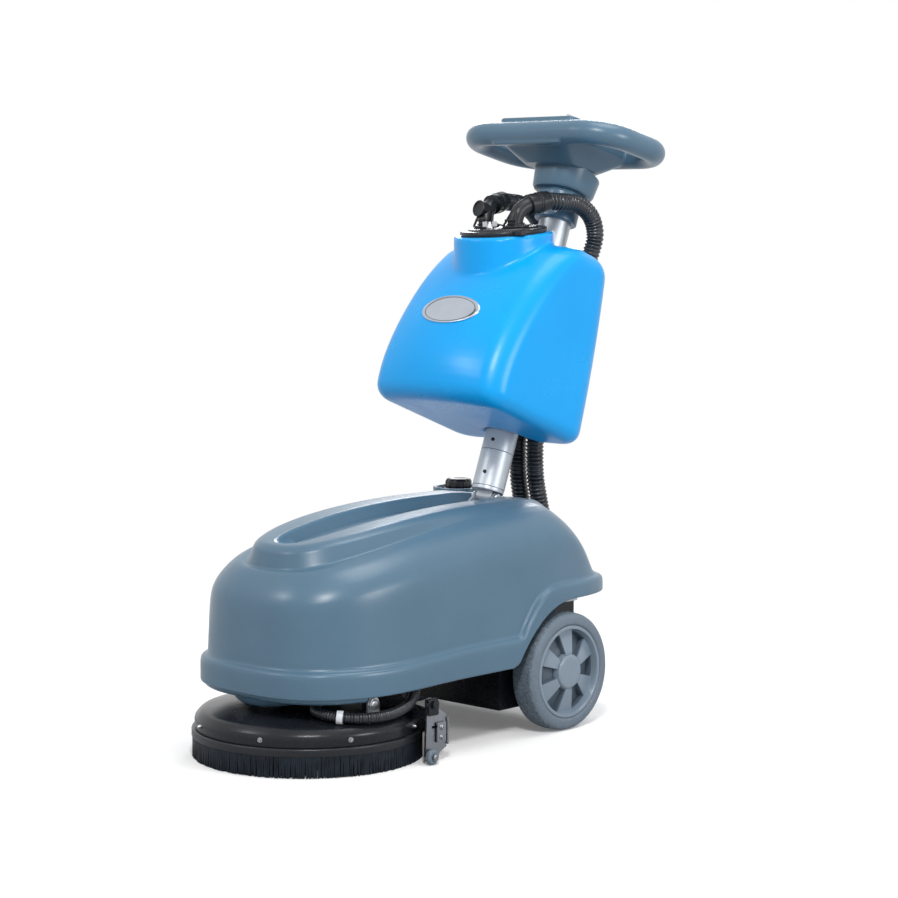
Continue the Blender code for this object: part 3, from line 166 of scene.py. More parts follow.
# an outline in XY drawn up from low to high, both ends closed
def prism(outline, low, high):
    outline = np.asarray(outline, float)
    rows = [np.column_stack((outline, np.full(len(outline), z))) for z in (low, high)]
    return skin(np.array(rows), capLow=True, capHigh=True)


def block(low, high):
    (a, b, c), (d, e, f) = low, high
    return prism([(a, b), (d, b), (d, e), (a, e)], c, f)


def arc(radius, start, end, count, centre=(0, 0)):
    angle = np.radians(np.linspace(start, end, count))
    return np.column_stack((centre[0] + radius * np.cos(angle), centre[1] + radius * np.sin(angle)))


def roundedBox(halfX, halfY, corner, steps=8):
    spots = ((1, 1), (-1, 1), (-1, -1), (1, -1))
    return np.concatenate([arc(corner, 90 * n, 90 * n + 90, steps,
                               (sx * (halfX - corner), sy * (halfY - corner)))
                           for n, (sx, sy) in enumerate(spots)])


# Catmull-Rom curve through the points, then re-sampled at even distances
def smoothPath(points, spacing):
    p = np.asarray(points, float)
    ends = np.vstack((2 * p[0] - p[1], p, 2 * p[-1] - p[-2]))
    a, b, c, d = (ends[k:len(p) - 1 + k, None] for k in range(4))
    t = np.linspace(0, 1, 40, endpoint=False)[None, :, None]
    fine = 0.5 * (2 * b + (c - a) * t + (2 * a - 5 * b + 4 * c - d) * t ** 2
                  + (3 * b - a - 3 * c + d) * t ** 3)
    fine = np.vstack((fine.reshape(-1, 3), p[-1:]))
    along = np.concatenate(([0], np.cumsum(np.linalg.norm(np.diff(fine, axis=0), axis=1))))
    count = max(int(round(along[-1] / spacing)), 2)
    places = np.linspace(0, along[-1], count + 1)
    return np.column_stack([np.interp(places, along, fine[:, k]) for k in range(3)]), places


# a round section carried along a path; radius is one number or one for each point of the path
def sweep(path, radius, sides=24, reference=(1, 0, 0), caps=True, closed=False, section=None):
    if closed:
        tangent = np.roll(path, -1, 0) - np.roll(path, 1, 0)
    else:
        tangent = np.gradient(path, axis=0)
    tangent /= np.linalg.norm(tangent, axis=1, keepdims=True)
    side = np.cross(np.asarray(reference, float), tangent)
    side /= np.linalg.norm(side, axis=1, keepdims=True)
    other = np.cross(tangent, side)
    if section is None:
        section = arc(1.0, 0, 360 * (sides - 1) / sides, sides)
    radius = np.broadcast_to(np.asarray(radius, float), (len(path),))[:, None, None]
    points = path[:, None] + radius * (section[None, :, :1] * side[:, None]
                                       + section[None, :, 1:] * other[:, None])
    return skin(points, closedRows=closed, capLow=caps and not closed,
                capHigh=caps and not closed)


# radius along a corrugated tube: rounded ribs with narrow valleys between them
def ribs(places, radius, pitch, depth):
    wave = np.abs(np.sin(np.pi * places / pitch))
    return radius - depth * (1 - wave ** 0.7)


# ---- pieces

def meshFrom(name, shape, weld=1e-6):
    verts, faces = shape
    mesh = bpy.data.meshes.new(name)
    mesh.from_pydata(verts.tolist(), [], [row for poly in faces for row in poly.tolist()])
    bm = bmesh.new()
    bm.from_mesh(mesh)
    bmesh.ops.remove_doubles(bm, verts=bm.verts, dist=weld)
    bmesh.ops.dissolve_degenerate(bm, edges=bm.edges, dist=1e-7)
    bm.to_mesh(mesh)
    bm.free()
    return mesh


def finishOf(name):
    return looks[name].material


def dress(mesh, material, sharp):
    mesh.materials.clear()
    mesh.materials.append(material)
    mesh.shade_smooth()
    mesh.set_sharp_from_angle(angle=math.radians(sharp))


def newPiece(name, mesh, material, sharp):
    dress(mesh, finishOf(material), sharp)
    piece = bpy.data.objects.new(name, mesh)
    bpy.context.scene.collection.objects.link(piece)
    return piece


# hide the CAD nodes that a finished piece stands for
def declare(piece, stands):
    if stands:
        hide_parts(*stands)
    return piece


def place(name, mesh, material, body, stands=(), bevel=0.0, sharp=35, segments=2, slot=None):
    piece = newPiece(name, mesh, material, sharp)
    if bevel:
        edge = piece.modifiers.new("edges", "BEVEL")
        edge.width = bevel
        edge.segments = segments
        edge.limit_method = "ANGLE"
        edge.angle_limit = math.radians(32)
        edge.harden_normals = True
    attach(piece, body)
    return declare(piece, stands)


def add(name, shape, material, body, stands=(), **settings):
    return place(name, meshFrom(name, shape), material, body, stands, **settings)

# a flexible piece, its shape baked into world space and left on no body

# a flexible piece held by two bodies, bending from the first to the second across their joint
def strung(name, shape, material, stands=(), sharp=75):
    piece = newPiece(name, meshFrom(name, shape), material, sharp)
    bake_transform(piece)
    return declare(piece, stands)


# a CAD node's own shape with its edges rounded
def rounded(node, material, body, bevel, sharp=35):
    mesh = nodes[node].data.copy()
    bm = bmesh.new()
    bm.from_mesh(mesh)
    bmesh.ops.remove_doubles(bm, verts=bm.verts, dist=1e-6)
    bmesh.ops.dissolve_limit(bm, angle_limit=math.radians(1.0), verts=bm.verts, edges=bm.edges)
    bm.to_mesh(mesh)
    bm.free()
    for layer in ("custom_normal", "sharp_edge", "sharp_face"):
        if layer in mesh.attributes:
            mesh.attributes.remove(mesh.attributes[layer])
    return place(node + "_finish", mesh, material, body, (node,), bevel, sharp)


# closed shapes merged into one skin and smoothed, as a moulded hollow part comes out
def moulded(name, shapes, voxel, passes, holes=()):
    made = []
    for number, shape in enumerate(list(shapes) + list(holes)):
        thing = bpy.data.objects.new("%s_%d" % (name, number), meshFrom(name, shape))
        bpy.context.scene.collection.objects.link(thing)
        made.append(thing)
    first = made[0]
    for number, other in enumerate(made[1:], 1):
        step = first.modifiers.new("step%d" % number, "BOOLEAN")
        step.operation = "UNION" if number < len(shapes) else "DIFFERENCE"
        step.solver = "EXACT"
        step.object = other
    skinStep = first.modifiers.new("skin", "REMESH")
    skinStep.mode = "VOXEL"
    skinStep.voxel_size = voxel
    smoothStep = first.modifiers.new("smooth", "SMOOTH")
    smoothStep.factor = 0.5
    smoothStep.iterations = passes
    return evaluated(name, first, made)


def evaluated(name, thing, remove):
    bpy.context.view_layer.update()
    ready = thing.evaluated_get(bpy.context.evaluated_depsgraph_get())
    mesh = bpy.data.meshes.new_from_object(ready)
    mesh.name = name
    for other in remove:
        bpy.data.objects.remove(other, do_unlink=True)
    return mesh


# one mesh cut out of another
def cutOut(name, mesh, tool):
    made = []
    for data in (mesh, tool):
        made.append(bpy.data.objects.new(data.name + "Solid", data))
        bpy.context.scene.collection.objects.link(made[-1])
    step = made[0].modifiers.new("space", "BOOLEAN")
    step.operation = "DIFFERENCE"
    step.solver = "EXACT"
    step.object = made[1]
    return evaluated(name, made[0], made)


# ---- shared shader effects

def startGroup(name, inputs, outputs):
    group = bpy.data.node_groups.new(name, "ShaderNodeTree")
    for label, kind, value in inputs:
        socket = group.interface.new_socket(label, in_out="INPUT", socket_type=kind)
        socket.default_value = value
    for label, kind in outputs:
        group.interface.new_socket(label, in_out="OUTPUT", socket_type=kind)
    entry = group.nodes.new("NodeGroupInput")
    exit_ = group.nodes.new("NodeGroupOutput")
    return group, entry, exit_


def calculate(group, kind, first, second, third=None):
    node = group.nodes.new("ShaderNodeMath")
    node.operation = kind
    for slot, value in enumerate((first, second, third)):
        if value is None:
            continue
        if isinstance(value, (int, float)):
            node.inputs[slot].default_value = value
        else:
            group.links.new(value, node.inputs[slot])
    return node.outputs[0]


# fine grain of moulded plastic or powder paint: Height for a bump, and a mask of its raised tops
# where a painted highlight lightens the colour
def grainGroup():
    group, entry, exit_ = startGroup(
        "fineGrain", [("Size", "NodeSocketFloat", 700.0), ("Softness", "NodeSocketFloat", 0.5)],
        [("Height", "NodeSocketFloat"), ("PaintedGlint", "NodeSocketFloat")])
    where = group.nodes.new("ShaderNodeTexCoord")
    cells = group.nodes.new("ShaderNodeTexVoronoi")
    cells.feature = "SMOOTH_F1"
    haze = group.nodes.new("ShaderNodeTexNoise")
    haze.inputs["Detail"].default_value = 3.0
    links = group.links
    for node in (cells, haze):
        links.new(where.outputs["Object"], node.inputs["Vector"])
    links.new(entry.outputs["Size"], cells.inputs["Scale"])
    links.new(entry.outputs["Softness"], cells.inputs["Smoothness"])
    links.new(calculate(group, "MULTIPLY", entry.outputs["Size"], 0.6), haze.inputs["Scale"])
    height = calculate(group, "SUBTRACT", haze.outputs["Fac"],
                       calculate(group, "MULTIPLY", cells.outputs["Distance"], 0.8))
    links.new(height, exit_.inputs["Height"])
    # painted highlight mask: high where the grain stands up
    paintedGlint = group.nodes.new("ShaderNodeMapRange")
    paintedGlint.inputs["From Min"].default_value = 0.56
    paintedGlint.inputs["From Max"].default_value = 0.74
    links.new(haze.outputs["Fac"], paintedGlint.inputs["Value"])
    links.new(paintedGlint.outputs["Result"], exit_.inputs["PaintedGlint"])
    return group


# broad soft clouds, for a surface that isn't quite even
def cloudGroup():
    group, entry, exit_ = startGroup(
        "softClouds", [("Size", "NodeSocketFloat", 9.0), ("Strength", "NodeSocketFloat", 1.0)],
        [("Mask", "NodeSocketFloat")])
    where = group.nodes.new("ShaderNodeTexCoord")
    haze = group.nodes.new("ShaderNodeTexNoise")
    haze.inputs["Detail"].default_value = 4.0
    haze.inputs["Roughness"].default_value = 0.55
    group.links.new(where.outputs["Object"], haze.inputs["Vector"])
    group.links.new(entry.outputs["Size"], haze.inputs["Scale"])
    spread = group.nodes.new("ShaderNodeMapRange")
    spread.inputs["From Min"].default_value = 0.35
    spread.inputs["From Max"].default_value = 0.65
    group.links.new(haze.outputs["Fac"], spread.inputs["Value"])
    result = calculate(group, "MULTIPLY", spread.outputs["Result"], entry.outputs["Strength"])
    group.links.new(result, exit_.inputs["Mask"])
    return group


# fine dust specks that gather near the floor
def dustGroup():
    group, entry, exit_ = startGroup(
        "restingDust", [("Amount", "NodeSocketFloat", 0.3), ("Reach", "NodeSocketFloat", 0.25)],
        [("Mask", "NodeSocketFloat")])
    where = group.nodes.new("ShaderNodeTexCoord")
    split = group.nodes.new("ShaderNodeSeparateXYZ")
    specks = group.nodes.new("ShaderNodeTexNoise")
    specks.inputs["Scale"].default_value = 260.0
    specks.inputs["Detail"].default_value = 6.0
    specks.inputs["Roughness"].default_value = 0.75
    links = group.links
    links.new(where.outputs["Object"], split.inputs["Vector"])
    links.new(where.outputs["Object"], specks.inputs["Vector"])
    low = group.nodes.new("ShaderNodeMapRange")
    low.inputs["From Min"].default_value = 0.0
    low.inputs["To Min"].default_value = 1.0
    low.inputs["To Max"].default_value = 0.15
    links.new(split.outputs["Z"], low.inputs["Value"])
    links.new(entry.outputs["Reach"], low.inputs["From Max"])
    speck = group.nodes.new("ShaderNodeMapRange")
    speck.inputs["From Min"].default_value = 0.50
    speck.inputs["From Max"].default_value = 0.68
    links.new(specks.outputs["Fac"], speck.inputs["Value"])
    mask = calculate(group, "MULTIPLY", low.outputs["Result"], speck.outputs["Result"])
    links.new(calculate(group, "MULTIPLY", mask, entry.outputs["Amount"]), exit_.inputs["Mask"])
    return group


effects = {"grain": grainGroup(), "clouds": cloudGroup(), "dust": dustGroup()}


class Look:
    def __init__(self, name, values):
        self.material = bpy.data.materials.new(name)
        self.material.use_nodes = True
        self.tree = self.material.node_tree
        self.shader = self.tree.nodes["Principled BSDF"]
        for label, value in values.items():
            self.shader.inputs[label].default_value = value

    def node(self, kind, **values):
        made = self.tree.nodes.new(kind)
        for label, value in values.items():
            made.inputs[label].default_value = value
        return made

    def effect(self, name, **values):
        made = self.tree.nodes.new("ShaderNodeGroup")
        made.node_tree = effects[name]
        for label, value in values.items():
            made.inputs[label].default_value = value
        return made

    def link(self, source, target):
        self.tree.links.new(source, target)

    def mix(self, mask, first, second):
        made = self.tree.nodes.new("ShaderNodeMix")
        made.data_type = "RGBA"
        sockets = {"Factor": made.inputs[0], "A": made.inputs[6], "B": made.inputs[7]}
        self.link(mask, sockets["Factor"])
        for label, value in (("A", first), ("B", second)):
            if isinstance(value, tuple):
                sockets[label].default_value = (*value, 1.0)
            else:
                self.link(value, sockets[label])
        return made.outputs[2]

    def spread(self, value, low, high):
        made = self.node("ShaderNodeMapRange", **{"To Min": low, "To Max": high})
        self.link(value, made.inputs["Value"])
        return made.outputs["Result"]

    def bump(self, height, strength, distance, before=None):
        made = self.node("ShaderNodeBump", Strength=strength, Distance=distance)
        self.link(height, made.inputs["Height"])
        if before is not None:
            self.link(before, made.inputs["Normal"])
        return made.outputs["Normal"]


# a moulded or painted surface: two near colours in clouds, a painted highlight on the grain's
# raised tops, dust, grain
def solidLook(name, colour, second, paintedGlint, dust, roughness, grainSize, grainDepth, metallic=0.0,
              specular=0.5, cloudSize=9.0, dustAmount=0.3, paintedGlintAmount=0.3, coat=0.0):
    look = Look(name, {"Metallic": metallic, "Specular IOR Level": specular,
                       "Coat Weight": coat, "Coat Roughness": 0.18})
    clouds = look.effect("clouds", Size=cloudSize)
    grain = look.effect("grain", Size=grainSize)
    resting = look.effect("dust", Amount=dustAmount)
    base = look.mix(clouds.outputs["Mask"], colour, second)
    # painted highlight: the raised tops of the grain are lightened towards a brighter colour
    paintedGlints = look.spread(grain.outputs["PaintedGlint"], 0.0, paintedGlintAmount)
    base = look.mix(paintedGlints, base, paintedGlint)
    base = look.mix(resting.outputs["Mask"], base, dust)
    look.link(base, look.shader.inputs["Base Color"])
    look.link(look.spread(clouds.outputs["Mask"], *roughness), look.shader.inputs["Roughness"])
    look.link(look.bump(grain.outputs["Height"], 0.5, grainDepth), look.shader.inputs["Normal"])
    return look


# brushed or drawn metal: fine lines along one axis of the piece's own frame
def metalLook(name, colour, second, roughness, lines, turned=(0, 0, 0), metallic=1.0):
    look = Look(name, {"Metallic": metallic})
    where = look.node("ShaderNodeTexCoord")
    mapping = look.node("ShaderNodeMapping")
    mapping.inputs["Rotation"].default_value = turned
    mapping.inputs["Scale"].default_value = lines
    look.link(where.outputs["Object"], mapping.inputs["Vector"])
    streak = look.node("ShaderNodeTexNoise", Scale=1.0, Detail=4.0)
    look.link(mapping.outputs["Vector"], streak.inputs["Vector"])
    clouds = look.effect("clouds", Size=40.0)
    base = look.mix(streak.outputs["Fac"], colour, second)
    base = look.mix(look.spread(clouds.outputs["Mask"], 0.0, 0.35), base,
                    tuple(0.8 * v for v in colour))
    look.link(base, look.shader.inputs["Base Color"])
    look.link(look.spread(streak.outputs["Fac"], *roughness), look.shader.inputs["Roughness"])
    look.link(look.bump(streak.outputs["Fac"], 0.25, 0.00004), look.shader.inputs["Normal"])
    return look


looks = {
    "slate_plastic": solidLook("slatePlastic", (0.080, 0.156, 0.228), (0.073, 0.145, 0.213),
                               (0.19, 0.30, 0.40), (0.24, 0.32, 0.39), (0.28, 0.36), 900.0,
                               0.00008, paintedGlintAmount=0.10, dustAmount=0.05, specular=0.46),
    "blue_plastic": solidLook("bluePlastic", (0.0, 0.365, 0.86), (0.0, 0.345, 0.83),
                              (0.10, 0.50, 1.0), (0.35, 0.6, 0.9), (0.26, 0.33), 800.0, 0.00007,
                              paintedGlintAmount=0.06, dustAmount=0.02, specular=0.32),
    "black_plastic": solidLook("blackPlastic", (0.009, 0.011, 0.014), (0.013, 0.016, 0.020),
                               (0.06, 0.07, 0.08), (0.10, 0.11, 0.12), (0.26, 0.38), 1500.0,
                               0.00003, paintedGlintAmount=0.10, dustAmount=0.10, specular=0.34),
    "black_painted_steel": solidLook("blackPaintedSteel", (0.006, 0.008, 0.011),
                                     (0.010, 0.012, 0.016), (0.20, 0.23, 0.27),
                                     (0.10, 0.11, 0.12), (0.20, 0.30), 620.0, 0.00010,
                                     paintedGlintAmount=0.04, dustAmount=0.05, specular=0.30),
    "grey_rubber": solidLook("greyRubber", (0.140, 0.180, 0.225), (0.126, 0.165, 0.208),
                             (0.36, 0.42, 0.48), (0.34, 0.37, 0.40), (0.52, 0.64), 1100.0,
                             0.00008, paintedGlintAmount=0.12, dustAmount=0.35, specular=0.35),
    "hub_plastic": solidLook("hubPlastic", (0.205, 0.262, 0.325), (0.188, 0.242, 0.303),
                             (0.30, 0.36, 0.42), (0.34, 0.38, 0.42), (0.20, 0.28), 1300.0,
                             0.00003, paintedGlintAmount=0.08, dustAmount=0.1, specular=0.6),
    "black_rubber": solidLook("blackRubber", (0.016, 0.017, 0.019), (0.024, 0.025, 0.028),
                              (0.06, 0.06, 0.07), (0.12, 0.12, 0.12), (0.55, 0.70), 900.0,
                              0.00008),
    "black_bristle": solidLook("blackBristle", (0.0040, 0.0070, 0.012), (0.010, 0.016, 0.025),
                               (0.04, 0.06, 0.08), (0.07, 0.09, 0.11), (0.42, 0.60), 900.0,
                               0.00010, cloudSize=60.0, paintedGlintAmount=0.1, dustAmount=0.05,
                               specular=0.22),
    "white_plastic": solidLook("whitePlastic", (0.72, 0.76, 0.80), (0.66, 0.70, 0.75),
                               (0.85, 0.87, 0.9), (0.5, 0.5, 0.5), (0.38, 0.5), 900.0, 0.00004),
    "zinc_plated_steel": metalLook("zincPlatedSteel", (0.60, 0.62, 0.65), (0.44, 0.46, 0.50),
                                   (0.22, 0.42), (260, 260, 60)),
    "dull_zinc": metalLook("dullZinc", (0.34, 0.36, 0.39), (0.22, 0.24, 0.27), (0.20, 0.38),
                           (260, 260, 60)),
    "silver_plate": metalLook("silverPlate", (0.52, 0.56, 0.62), (0.44, 0.49, 0.56),
                              (0.26, 0.40), (60, 900, 900)),
    "satin_aluminium": metalLook("satinAluminium", (0.50, 0.54, 0.58), (0.43, 0.47, 0.52),
                                 (0.36, 0.50), (900, 900, 12),
                                 (math.radians(mastLean), 0, 0), 0.75),
}


# clear grey rubber of the squeegee blades: some light passes through it
def bladeLook():
    look = Look("clearGreyRubber", {"Transmission Weight": 0.35, "IOR": 1.45,
                                    "Specular IOR Level": 0.5})
    clouds = look.effect("clouds", Size=25.0)
    base = look.mix(clouds.outputs["Mask"], (0.50, 0.45, 0.41), (0.62, 0.58, 0.55))
    look.link(base, look.shader.inputs["Base Color"])
    look.link(look.spread(clouds.outputs["Mask"], 0.25, 0.45), look.shader.inputs["Roughness"])
    return look


looks["clear_grey_rubber"] = bladeLook()
looks["hose"] = solidLook("hosePlastic", (0.014, 0.018, 0.024), (0.022, 0.027, 0.034),
                          (0.08, 0.09, 0.10), (0.16, 0.17, 0.18), (0.24, 0.36), 1400.0, 0.0001,
                          paintedGlintAmount=0.1, dustAmount=0.12)
looks["dark_gap"] = solidLook("darkLine", (0.030, 0.040, 0.060), (0.040, 0.050, 0.070),
                              (0.08, 0.09, 0.10), (0.1, 0.1, 0.1), (0.4, 0.5), 900.0, 0.0001)

# every CAD node takes the detailed finish of its own slot
slotOf = {part["node"]: part["material_slot"] for part in frame["record"]["subparts"]}
for node, slotName in slotOf.items():
    nodes[node].data.materials.clear()
    nodes[node].data.materials.append(looks[slotName].material)
print("materials:", len(looks))


# ---- body cover

cover = {
    # widest half width, nose and tail from the axle
    "half": 0.193, "front": -0.575, "tail": 0.155,
    "widest": -0.30, "nosePower": 2.9, "tailPower": 6.0,
    "crest": 0.387, "hem": 0.119, "flange": 0.041,
    "channelHalf": 0.050, "channelFront": -0.480, "channelDepth": 0.020,
    "wall": 0.004, "around": 240, "fillerHole": 0.036,
}


def smoothstep(value):
    value = np.clip(value, 0, 1)
    return value * value * (3 - 2 * value)


# share of the rise over the wheels: steep at first, then easing off
def archRise(y, start, length):
    return 1 - (1 - np.clip((y - start) / length, 0, 1)) ** 2.3


def hemHeight(y):
    return cover["hem"] + 0.005 * smoothstep((y + 0.45) / 0.20) + 0.098 * archRise(y, -0.130, 0.150)


def ledgeHeight(y):
    return (cover["hem"] + cover["flange"] + 0.010 * smoothstep((y + 0.45) / 0.25)
            + 0.078 * archRise(y, -0.115, 0.100))


# level over the middle, falling by powers of the distance to the nose and to the tail
def crownHeight(y, crest, noseStart, noseDrop, nosePower, tailStart, tailDrop):
    ahead = np.maximum(noseStart - y, 0) / (noseStart - cover["front"])
    behind = np.maximum(y - tailStart, 0) / (cover["tail"] - tailStart)
    return crest - noseDrop * ahead ** nosePower - tailDrop * behind ** 2


def plateauHeight(y):
    return crownHeight(y, cover["crest"], -0.10, 0.060, 2.0, -0.03, 0.052)


def creaseHeight(y):
    return crownHeight(y, cover["crest"] - 0.011, -0.05, 0.084, 1.7, -0.01, 0.113)


def shoulderHeight(y):
    return crownHeight(y, cover["crest"] - 0.055, 0.0, 0.070, 1.6, 0.0, 0.126)


def floorHeight(y):
    return plateauHeight(np.minimum(y, -0.03)) - cover["channelDepth"]


# plan of one level: a superellipse ahead of its widest place and a squarer one behind it,
# sampled by direction so that the points stay even; anticlockwise from the middle of the rear
def planOf(half, front, rear, widest, nosePower, tailPower, count):
    angle = np.linspace(0, 2 * np.pi, count, endpoint=False)
    across, along = -np.sin(angle), np.cos(angle)
    power = np.where(along > 0, tailPower, nosePower)
    reach = np.where(along > 0, rear - widest, widest - front)
    size = (np.abs(across) ** power + np.abs(along) ** power) ** (-1 / power)
    return np.stack((half * across * size, widest + reach * along * size), -1)


# levels from the hem up: width, nose and tail drawn in, height by place, and how soft the edge is
def coverLevels():
    half, front, tail = cover["half"], cover["front"], cover["tail"]
    channel, nose = cover["channelHalf"], cover["channelFront"]
    return [
        (half - 0.0015, front + 0.0015, tail - 0.0015, lambda y: hemHeight(y), 0.0),
        (half, front, tail, lambda y: hemHeight(y) + 0.0015, 0.002),
        (half, front, tail, lambda y: ledgeHeight(y) - 0.005, 0.010),
        (half - 0.003, front + 0.003, tail - 0.003, lambda y: ledgeHeight(y), 0.0035),
        (half - 0.011, front + 0.011, tail - 0.011, lambda y: ledgeHeight(y) + 0.0035, 0.006),
        (half - 0.015, front + 0.015, tail - 0.015,
         lambda y: np.maximum(shoulderHeight(y) - 0.014, ledgeHeight(y) + 0.008), 0.030),
        (half - 0.022, front + 0.022, tail - 0.030,
         lambda y: np.maximum(shoulderHeight(y) + 0.006, ledgeHeight(y) + 0.014), 0.030),
        (half - 0.037, front + 0.037, tail - 0.055, lambda y: shoulderHeight(y) + 0.024, 0.030),
        (half - 0.054, front + 0.054, tail - 0.082, lambda y: shoulderHeight(y) + 0.037, 0.030),
        (0.122, front + 0.062, tail - 0.090, creaseHeight, 0.005),
        (0.111, front + 0.070, tail - 0.096, lambda y: plateauHeight(y) - 0.007, 0.004),
        (0.099, front + 0.080, tail - 0.104, plateauHeight, 0.008),
        (channel + 0.004, nose - 0.004, 0.042, plateauHeight, 0.002),
        (channel, nose, 0.038, lambda y: plateauHeight(y) - 0.003, 0.004),
        (channel - 0.009, nose + 0.020, 0.033, floorHeight, 0.004),
    ]


def coverShape():
    rows, soft = [], []
    for half, front, rear, height, softness in coverLevels():
        widest = cover["widest"] + (0.0 if half > 0.13 else 0.10)
        plan = planOf(half, front, rear, widest, cover["nosePower"], cover["tailPower"],
                      cover["around"])
        rows.append(np.column_stack((plan, height(plan[:, 1]))))
        soft.append(softness)
    rows = eased(np.array(rows), soft, 6, closed=False)
    last = rows[-1]
    inner = [last * (share, 1, 1) for share in (0.75, 0.5, 0.25, 0.0)]
    verts, faces = skin(np.concatenate((rows, np.array(inner))))
    verts = verts + (0, axleY, 0)
    centres = verts[faces[0]].mean(1)
    filler = middleOf("filler_neck")
    gap = np.hypot(centres[:, 0] - filler[0], centres[:, 1] - filler[1])
    keep = (gap > cover["fillerHole"]) | (centres[:, 2] < 0.30)
    return verts, [faces[0][keep]]


bodyCover = add("bodyCover", coverShape(), "slate_plastic", "chassis", ("body_cover",),
                sharp=60)
wall = bodyCover.modifiers.new("wall", "SOLIDIFY")
wall.thickness = cover["wall"]
wall.offset = -1.0


# housing on the tail that the hoses run into
housing = moved(block((-0.043, 0.084, 0.252), (0.043, 0.146, 0.306)), axleFrame)
add("hoseHousing", housing, "slate_plastic", "chassis", bevel=0.006, segments=4)


# ---- lower hull under the nose

pan = {"rearCut": -0.460, "widest": -0.30}


# front end of a superellipse, from its left at the cut round the nose to its right
def noseOutline(half, front, widest, power, rearCut, count):
    reach = widest - front
    start = math.acos(((widest - rearCut) / reach) ** (power / 2))
    angle = np.linspace(start, -start, count)
    across = np.sign(np.sin(angle)) * np.abs(np.sin(angle)) ** (2 / power)
    return np.stack((-half * across, widest - reach * np.cos(angle) ** (2 / power)), -1)


def hull(levels, widest, power, rearCut, soft):
    rows = [np.column_stack((noseOutline(half, front, widest, power, rearCut, 72),
                             np.full(72, height))) for half, front, height in levels]
    return skin(eased(np.array(rows), soft, 5, closed=False), capLow=True, capHigh=True)


nosePan = hull([(cover["half"] - inset, cover["front"] + inset, height) for inset, height in
                ((0.066, 0.1075), (0.044, 0.1075), (0.022, 0.1078), (0.0085, 0.1115),
                 (0.0050, 0.1165), (0.0048, 0.1215))],
               pan["widest"], cover["nosePower"], pan["rearCut"], 0.004)
bulge = hull([(0.045, -0.546, 0.0955), (0.060, -0.552, 0.0985), (0.075, -0.556, 0.1085)],
             -0.475, 2.6, -0.489, 0.008)
add("nosePan", moved(gather(nosePan, bulge), axleFrame), "slate_plastic", "chassis",
    ("front_pan",))
print("cover done")


# ---- filler and its cap

filler = {"rim": 0.380, "radius": 0.045, "bore": 0.026, "foot": 0.261, "capRadius": 0.024,
          "capHeight": 0.022, "lobes": 10}
fillerPlace = middleOf("filler_neck")
fillerFrame = shift(fillerPlace[0], fillerPlace[1], 0)
rim, outer, bore = filler["rim"], filler["radius"], filler["bore"]
collar = lathe([(bore, rim - 0.006), (bore, filler["foot"]), (outer, filler["foot"]),
                (outer, rim + 0.008), (outer - 0.005, rim + 0.008), (outer - 0.0095, rim + 0.001),
                (outer - 0.0130, rim - 0.0015), (outer - 0.0150, rim - 0.0035)], 120, ring=True,
               ease=0.002)
add("fillerCollar", moved(collar, fillerFrame), "slate_plastic", "chassis",
    ("filler_neck",), sharp=50)


# grip: the radius swings with the angle, most at the top of the knob
def lobed(radius, height, angle):
    grip = np.clip(height / filler["capHeight"], 0, 1)
    on = smoothstep((radius - 0.014) / 0.008) * smoothstep(grip * 3 - 0.6)
    return radius - 0.0016 * on * (0.5 + 0.5 * np.cos(filler["lobes"] * angle)) ** 2


capHeight, capRadius = filler["capHeight"], filler["capRadius"]
knob = lathe([(0, -0.012), (bore - 0.0003, -0.012), (bore - 0.0003, 0), (capRadius + 0.006, 0),
              (capRadius + 0.006, 0.0035), (capRadius - 0.002, 0.005), (capRadius, 0.008),
              (capRadius - 0.0005, capHeight - 0.0045), (capRadius - 0.004, capHeight),
              (0.014, capHeight), (0.012, capHeight - 0.0012), (0, capHeight - 0.0012)],
             160, ease=0.0018, wobble=lobed)
add("fillerKnob", moved(knob, shift(fillerPlace[0], fillerPlace[1], rim + 0.0003)),
    "black_plastic", "cap", ("fill_cap",), sharp=50)


# ---- wheels

wheel = {"radius": 0.100, "half": 0.024, "rim": 0.0785, "cap": 0.029, "track": 0.171,
         "spokes": 6, "face": 0.020, "dish": 0.008, "pocket": 0.013}


def tyreShape():
    half, rimRadius, radius = wheel["half"], wheel["rim"] + 0.0003, wheel["radius"]
    return lathe([(rimRadius, -half + 0.003), (rimRadius + 0.002, -half + 0.0006),
                  (rimRadius + 0.005, -half), (radius - 0.007, -half + 0.0008),
                  (radius - 0.0016, -half + 0.005), (radius - 0.0006, 0),
                  (radius - 0.0016, half - 0.005), (radius - 0.007, half - 0.0008),
                  (rimRadius + 0.005, half), (rimRadius + 0.002, half - 0.0006),
                  (rimRadius, half - 0.003)], 160, ring=True,
                 ease=(0.001, 0.002, 0.002, 0.006, 0.004, 0.01, 0.004, 0.006, 0.002, 0.002, 0.001))


# thin band round the tyre that carries the coarse tread grain
def treadShape():
    half, radius = wheel["half"], wheel["radius"]
    return lathe([(radius - 0.0040, -half + 0.0030), (radius - 0.0012, -half + 0.0056),
                  (radius, -0.008), (radius, 0.008), (radius - 0.0012, half - 0.0056),
                  (radius - 0.0040, half - 0.0030)], 160, ring=True, ease=0.003)


